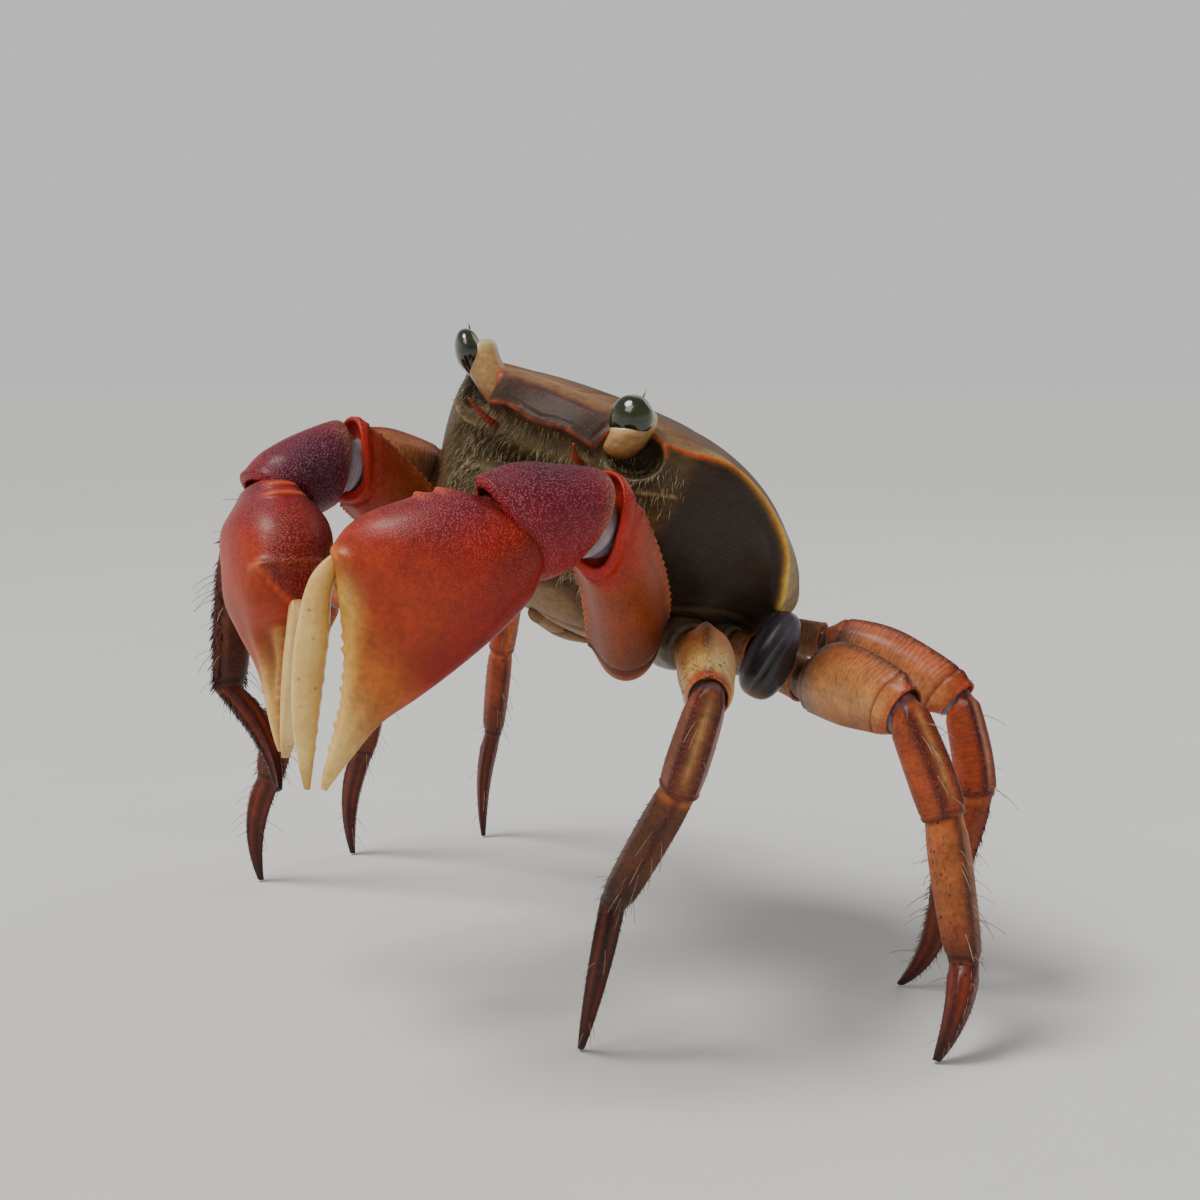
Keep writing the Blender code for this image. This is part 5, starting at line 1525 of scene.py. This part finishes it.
def eyestalk(side, at, turn, facing):
    """Short stalk that swings out of the socket's inner corner and widens to a slanting cup."""
    look = EYES[side]
    c, s = circle(EYE_AROUND)
    toward = c * facing[0] + s * facing[1]
    inner = (np.array((-look["sign"] * 2.6, 1.3, -0.9)) @ turn)[None, None]
    stem = np.linspace(0, 1, 44)
    share = np.concatenate([stem, np.ones(len(CUP_DOME))])[:, None]
    radius = np.interp(stem, *EYE_STALK_SHAPE) * look["cup_width"]
    radius = np.concatenate([radius, radius[-1] * np.cos(CUP_DOME)])[:, None]
    bottom = -0.5 - look["raised"]
    height = bottom + (look["cup_height"] - look["cup_slant"] * toward - bottom) * share
    height[len(stem):] += 1.1 * np.sin(CUP_DOME)[:, None]
    # above its waist the cup closes in on the cornea
    over = np.clip((height - CORNEA_HEIGHT) / look["cornea_radii"][2], 0, 0.98)
    radius = np.minimum(radius, 2.5 * np.sqrt(1 - over ** 2) + 0.12)
    rings = np.stack([radius * c, radius * s, height], -1) + inner * rise(share, 0.85, -0.05)[..., None]
    share = np.broadcast_to(share, rings.shape[:2])
    tint = all_over(share.shape, EYE_PAINTS["stalk"])
    tint = mix(tint, EYE_PAINTS["stalk's root"], 0.75 * rise(share, 0.45, 0.0))
    tint = mix(tint, EYE_PAINTS["cup"], 0.75 * rise(share, 0.80, 1.0))
    tint = mix(tint, EYE_PAINTS["rear"], 0.5 * rise(-toward, 0.2, 0.9) * (1 - rise(share, 0.6, 0.95)))
    lay = np.stack([rings[..., 2], rings[..., 0], rings[..., 1]], -1)
    touch = feel(share.shape, 0, 0.12, 0.2, 0.2)
    dress(skin(side + "_eyestalk_look", at(rings), tint, touch, lay, STALK_FINISH),
          "stalk", side + "_eyestalk")


def cornea(side, at, facing):
    """An egg, narrow below, olive, with painted shade on its underside and a painted highlight along its
    upper rim.
    """
    look = EYES[side]
    c, s = circle(EYE_AROUND)
    polar = np.radians(np.linspace(2, 178, EYE_AROUND))[:, None]
    forward, sideways, high = look["cornea_radii"]
    egg = 1 + 0.05 * np.cos(polar) - 0.30 * rise(-np.cos(polar), 0.15, 1.0)
    x = np.sin(polar) * c * egg
    z = high * np.cos(polar) + 0 * c
    rings = (facing * (forward * x + look["cornea_out"])[..., None]
             + np.array((-facing[1], facing[0], 0.0)) * (sideways * np.sin(polar) * s * egg)[..., None]
             + np.array((0, 0, 1.0)) * (z + CORNEA_HEIGHT)[..., None])
    tint = mix(all_over(x.shape, EYE_PAINTS["cornea"]), EYE_PAINTS["olive band"], 0.6 * bell(z, 0.6, 1.1))
    # darker underside: painted shade
    tint = mix(tint, EYE_PAINTS["underside"], 0.6 * rise(-z, 0.6, 2.2))
    # pale upper rim: painted highlight
    tint = mix(tint, EYE_PAINTS["upper rim"], 0.85 * rise(z - 0.5 * x, high * 0.72, high * 0.95))
    dress(skin(side + "_cornea_look", at(rings), tint, feel(x.shape, shine=1.0), rings, CORNEA_FINISH),
          "cornea", side + "_cornea")


def antenna(side):
    """Short jointed rod that tapers ahead of the front."""
    sign = EYES[side]["sign"]
    x, y, z = ANTENNA_ROOT
    path = np.array([(sign * x, y + 1.2, z)]
                    + [(sign * (x + 0.35 * ahead), y - 0.8 * ahead, z + up)
                       for ahead, up in ((2.2, 0.25), (4.0, 0.75), (6.0, 1.5))])
    reach = np.concatenate([[0], np.cumsum(np.linalg.norm(np.diff(path, axis=0), axis=1))])
    rows, around = 60, 16
    places = np.linspace(0, reach[-1], rows)
    centre = np.stack([np.interp(places, reach, path[:, n]) for n in range(3)], -1)
    centre = np.array([centre[max(k - 3, 0):k + 4].mean(0) for k in range(rows)])
    along = unit(np.gradient(centre, axis=0))
    across = unit(np.cross(along, (0, 0, 1.0)))
    deep = np.cross(along, across)
    radius = np.interp(places, reach, ANTENNA_RADII) * (1 + 0.05 * np.sin(places * 11))
    radius[0], radius[-1] = radius[0] * 0.5, radius[-1] * 0.4
    c, s = circle(around)
    way = across[:, None] * c[..., None] + deep[:, None] * s[..., None]
    rings = centre[:, None] + radius[:, None, None] * way
    shape = (rows, around)
    lay = np.stack([np.broadcast_to(places[:, None], shape), np.zeros(shape), np.zeros(shape)], -1)
    dress(skin(side + "_antenna_look", on_body(rings), all_over(shape, EYE_PAINTS["antenna"]),
               feel(shape, stripes=0.4, shine=0.2), lay, LEG_FINISH), "feeler", side + "_antenna")


for eye_side in EYES:
    eye(eye_side)
    antenna(eye_side)


# Bud of the lost leg

# The top and edge paints are painted highlights, the crease paint is painted shade
BUD_PAINTS = {"lobe": shade(52, 46, 52), "top": shade(100, 94, 108), "edge": shade(120, 112, 118),
              "crease": shade(26, 20, 22), "foot": shade(128, 108, 86)}


def bud_stub():
    """Base article of the lost leg."""
    start, end = chain(BUD_ROOT, (BUD_STUB,))
    stub = Article("base", start, end, (2.3, 2.3), direction(BUD_STUB[1] + 90, 0))
    tint, touch = leg_paint(stub, "left_leg_3")
    dress(skin("left_leg_2_base_look", stub.rings(leg_form(stub)), tint, touch, stub.lay(), LEG_FINISH),
          "leg", "left_leg_2_base")
    root_skin(stub, 2.5)


def bud():
    """Bud of the new leg, folded double in its own skin: a smooth lobe with a shallow crease, painted
    highlights on its top, along one side and on the fold's lip, and painted shade in the crease.
    """
    polar = np.radians(np.linspace(1.5, 178.5, 110))[:, None]
    turn = np.radians(round_angles(96))[None]
    up = np.cos(polar)
    wide = np.sin(polar) ** 0.75 * (1 - 0.15 * up)
    flat = wide * np.sin(turn - math.radians(BUD_FACE))
    front = rise(np.cos(turn - math.radians(BUD_FACE)), 0.0, 0.5)
    fold = flat - 0.20 - 0.28 * up
    crease = front * bell(fold, 0.0, 0.10) * rise(0.62 - up, 0.0, 0.35) * rise(up, -0.95, -0.7)
    x = BUD_RADII[0] * wide * np.cos(turn) * (1 - 0.06 * crease)
    y = BUD_RADII[1] * wide * np.sin(turn) * (1 - 0.06 * crease)
    z = BUD_RADII[2] * up + 0 * turn
    # paler towards the top: painted highlight
    tint = mix(all_over(x.shape, BUD_PAINTS["lobe"]), BUD_PAINTS["top"], 0.8 * rise(z, 0.5, 4.5))
    # paler along one side and on the lip of the fold: painted highlight
    tint = mix(tint, BUD_PAINTS["edge"],
               0.6 * bell(flat, -0.78, 0.16) + 0.4 * front * bell(fold, -0.17, 0.06))
    # darker in the crease: painted shade
    tint = mix(tint, BUD_PAINTS["crease"], 0.5 * crease)
    tint = mix(tint, BUD_PAINTS["foot"], 0.5 * rise(-z, 3.6, 5.2))
    rings = on_body(np.stack([x, y, z], -1) + BUD_CENTRE)
    dress(skin("left_leg_2_bud_look", rings, tint, feel(x.shape, 0, 0.05, 0, 0.6), np.stack([z, x, y], -1),
               BUD_FINISH), "bud", "left_leg_2_bud")


bud_stub()
bud()


# Soft skins of the joints, in one piece

SKIN_PAINTS = {"brown": shade(74, 60, 52), "brown fold": shade(112, 94, 80),
               "lilac": shade(112, 106, 124), "lilac fold": shade(158, 148, 156)}


def all_joint_skins():
    """The soft skins in one piece, brown at the roots and lilac at the elbows, with paler folds."""
    points, faces, lays, start = [], [], [], 0
    for rings, lay in JOINT_SKINS:
        ends = np.stack([rings[0].mean(0), rings[-1].mean(0)])
        points.append(np.concatenate([rings.reshape(-1, 3), ends]))
        lays.append(np.concatenate([lay.reshape(-1, 3), lay[0, :1], lay[-1, :1]]))
        for corners in ring_faces(*rings.shape[:2]):
            faces += (corners + start).tolist()
        start += len(points[-1])
    points, lay = np.concatenate(points), np.concatenate(lays)
    fold = 0.5 + 0.5 * np.sin(lay[:, 0] * 3)
    brown = mix(SKIN_PAINTS["brown"], SKIN_PAINTS["brown fold"], fold)
    lilac = mix(SKIN_PAINTS["lilac"], SKIN_PAINTS["lilac fold"], fold)
    piece = mesh_piece("joint_skins", points, faces, MEMBRANE_FINISH,
                       {"tint": with_alpha(mix(brown, lilac, lay[:, 2])),
                        "touch": feel(fold.shape, 0, 0.3, 0, 0.5), "lay": lay})
    dress(piece, "bud")


all_joint_skins()


# Bristles and hair, planted by one tree of nodes

MAP_CELLS = 8
MAP_PATCH = 0.003


def planting_tree(name):
    """Cones that lean along each root's lie and bend towards its droop."""
    tree = bpy.data.node_groups.new(name, "GeometryNodeTree")
    face = tree.interface
    face.new_socket("Geometry", in_out="INPUT", socket_type="NodeSocketGeometry")
    for label, value in (("Length", 0.001), ("Thickness", 0.0001), ("Bend", 0.3)):
        face.new_socket(label, in_out="INPUT", socket_type="NodeSocketFloat").default_value = value
    face.new_socket("Sides", in_out="INPUT", socket_type="NodeSocketInt").default_value = 4
    face.new_socket("Finish", in_out="INPUT", socket_type="NodeSocketMaterial")
    face.new_socket("Geometry", in_out="OUTPUT", socket_type="NodeSocketGeometry")
    given, result = tree.nodes.new("NodeGroupInput"), tree.nodes.new("NodeGroupOutput")
    given = {socket.name: socket for socket in given.outputs if socket.name}

    def node(kind, sockets=None, **settings):
        return add_node(tree, "GeometryNode" + kind, sockets, **settings)

    def of_root(key, kind):
        return node("InputNamedAttribute", {"Name": key}, data_type=kind).outputs[0]

    cone = node("MeshCone", {"Vertices": given["Sides"], "Side Segments": 4, "Radius Top": 0.000012,
                             "Radius Bottom": given["Thickness"], "Depth": given["Length"]},
                fill_type="NONE")
    height = put(tree, "SeparateXYZ", {0: node("InputPosition").outputs[0]}).outputs[2]
    curve = sums(tree, "POWER", sums(tree, "DIVIDE", height, given["Length"]), 2.0)
    reach = sums(tree, "MULTIPLY", given["Bend"], given["Length"])
    shift = put(tree, "CombineXYZ", {0: sums(tree, "MULTIPLY", curve, reach)}).outputs[0]
    bent = node("SetPosition", {"Geometry": cone.outputs["Mesh"], "Offset": shift})
    stand = add_node(tree, "FunctionNodeAlignRotationToVector", {"Vector": of_root("lie", "FLOAT_VECTOR")},
                     axis="Z")
    turned = add_node(tree, "FunctionNodeAlignRotationToVector",
                      {"Rotation": stand.outputs[0], "Vector": of_root("droop", "FLOAT_VECTOR")},
                      axis="X", pivot_axis="Z")
    planted = node("InstanceOnPoints", {"Points": given["Geometry"], "Instance": bent.outputs["Geometry"],
                                        "Rotation": turned.outputs[0], "Scale": of_root("size", "FLOAT")})
    real = node("RealizeInstances", {0: planted.outputs[0]})
    done = node("SetMaterial", {"Geometry": real.outputs[0], "Material": given["Finish"]})
    tree.links.new(done.outputs[0], result.inputs[0])
    return tree


PLANTING = planting_tree("planting")


def grow(name, rows, thickness, bend, sides, finish, slot):
    """One piece from all the strands planted in a list."""
    roots = np.concatenate(rows["roots"])
    mesh = bpy.data.meshes.new(name)
    mesh.from_pydata(roots.tolist(), [], [])
    for key in ("lie", "droop"):
        mark = mesh.attributes.new(key, "FLOAT_VECTOR", "POINT")
        mark.data.foreach_set("vector", np.concatenate(rows[key + "s"]).astype(np.float32).ravel())
    mark = mesh.attributes.new("size", "FLOAT", "POINT")
    mark.data.foreach_set("value", np.concatenate(rows["sizes"]).astype(np.float32))
    piece = placed(name, mesh)
    modifier = piece.modifiers.new("planting", "NODES")
    modifier.node_group = PLANTING
    inputs = {"Length": MM, "Thickness": thickness, "Bend": bend, "Sides": sides, "Finish": finish}
    for socket in PLANTING.interface.items_tree:
        if socket.in_out == "INPUT" and socket.name in inputs:
            modifier[socket.identifier] = inputs[socket.name]
    piece.data = evaluated_mesh(piece)
    map_strands(piece.data, np.concatenate(rows["places"]))
    return dress(piece, slot)


def map_strands(mesh, places):
    """Lays each strand's map as a small patch, in its article's cell by its root's place."""
    number, share, angle = places.T
    cell = np.stack([(number % MAP_CELLS) / MAP_CELLS + share / 10,
                     np.floor(number / MAP_CELLS) / MAP_CELLS + (angle % 360) / 3600], -1)
    count = len(mesh.vertices) // len(places)
    patch = np.stack([np.arange(count) % 4 / 4, np.arange(count) / count], -1) * MAP_PATCH
    spots = (cell[:, None] + patch[None]).reshape(-1, 2)
    corners = np.empty(len(mesh.loops), int)
    mesh.loops.foreach_get("vertex_index", corners)
    mesh.uv_layers.new(name="OFBake").data.foreach_set("uv", spots[corners].astype(np.float32).ravel())


grow("bristles", BRISTLES, 0.00008, 0.15, 4, BRISTLE_FINISH, "leg")
grow("long_hairs", HAIRS, 0.000017, 0.35, 3, HAIR_FINISH, "leg")
grow("mouth_hair", BEARD, 0.00006, 0.45, 3, BEARD_FINISH, "mouth")


# Floor, light and camera

WALL_LIGHT, CEILING_LIGHT = 0.66, 0.24
STUDIO_LIGHTS = (
    ("sun", "SUN", (-0.35, -0.35, 0.95), math.radians(24), 2.2, (1.0, 0.98, 0.95)),
    ("key", "AREA", (-0.10, -0.42, 0.55), 0.30, 1.1, (1.0, 0.97, 0.93)),
    ("back", "AREA", (0.15, 0.55, 0.45), 0.35, 0.5, (1.0, 0.98, 0.95)))
WORLD_COLOUR = (0.985, 1.0, 0.985, 1)
FLOOR_GREYS = (0.76, 0.76, 0.74, 1), (0.80, 0.80, 0.78, 1)
FILM = 36.0
LENS = 1742 / 1200 * FILM
CAMERA_TURN = math.radians(35.1), math.radians(7.0)
CAMERA_PLACE = BODY_CENTRE + Vector((119.30, -180.36, 11.93)) * MM


def studio_floor():
    bpy.ops.mesh.primitive_plane_add(size=60.0, location=(0, 0, -0.0003))
    floor = bpy.context.object
    floor.name = "studio_floor"
    material, tree, shader, place = new_finish("floor_finish")
    cloud = put(tree, "TexNoise", {"Vector": place, "Scale": 30.0, "Detail": 4.0})
    feed(tree, shader, {"Base Color": blended(tree, cloud.outputs[0], *FLOOR_GREYS), "Roughness": 0.85,
                        "Specular IOR Level": 0.2})
    floor.data.materials.append(material)


def studio_light():
    """A pale wall of light all round, low down, a dimmer ceiling and three lamps."""
    world = bpy.data.worlds.new("studio")
    bpy.context.scene.world = world
    world.use_nodes = True
    tree = world.node_tree
    way = put(tree, "SeparateXYZ", {0: put(tree, "TexCoord").outputs["Generated"]}).outputs[2]
    strength = spread(tree, way, 0.22, 0.42, WALL_LIGHT, CEILING_LIGHT)
    feed(tree, tree.nodes["Background"], {"Strength": strength, "Color": WORLD_COLOUR})
    middle = Vector((0, 0, 0.05))
    for name, kind, place, size, strength, colour in STUDIO_LIGHTS:
        light = placed(name, bpy.data.lights.new(name, kind))
        light.data.energy, light.data.color = strength, colour
        if kind == "AREA":
            light.data.size = size
        else:
            light.data.angle = size
        light.location = place
        light.rotation_mode = "QUATERNION"
        light.rotation_quaternion = (middle - light.location).to_track_quat("-Z", "Y")


def studio_camera():
    camera = placed("camera", bpy.data.cameras.new("camera"))
    bpy.context.scene.camera = camera
    camera.data.sensor_width = FILM
    camera.data.lens = LENS
    camera.data.clip_start = 0.01
    heading, dip = CAMERA_TURN
    ahead = Vector((-math.sin(heading) * math.cos(dip), math.cos(heading) * math.cos(dip), -math.sin(dip)))
    camera.location = CAMERA_PLACE
    camera.rotation_mode = "QUATERNION"
    camera.rotation_quaternion = ahead.to_track_quat("-Z", "Y")


studio_floor()
studio_light()
studio_camera()
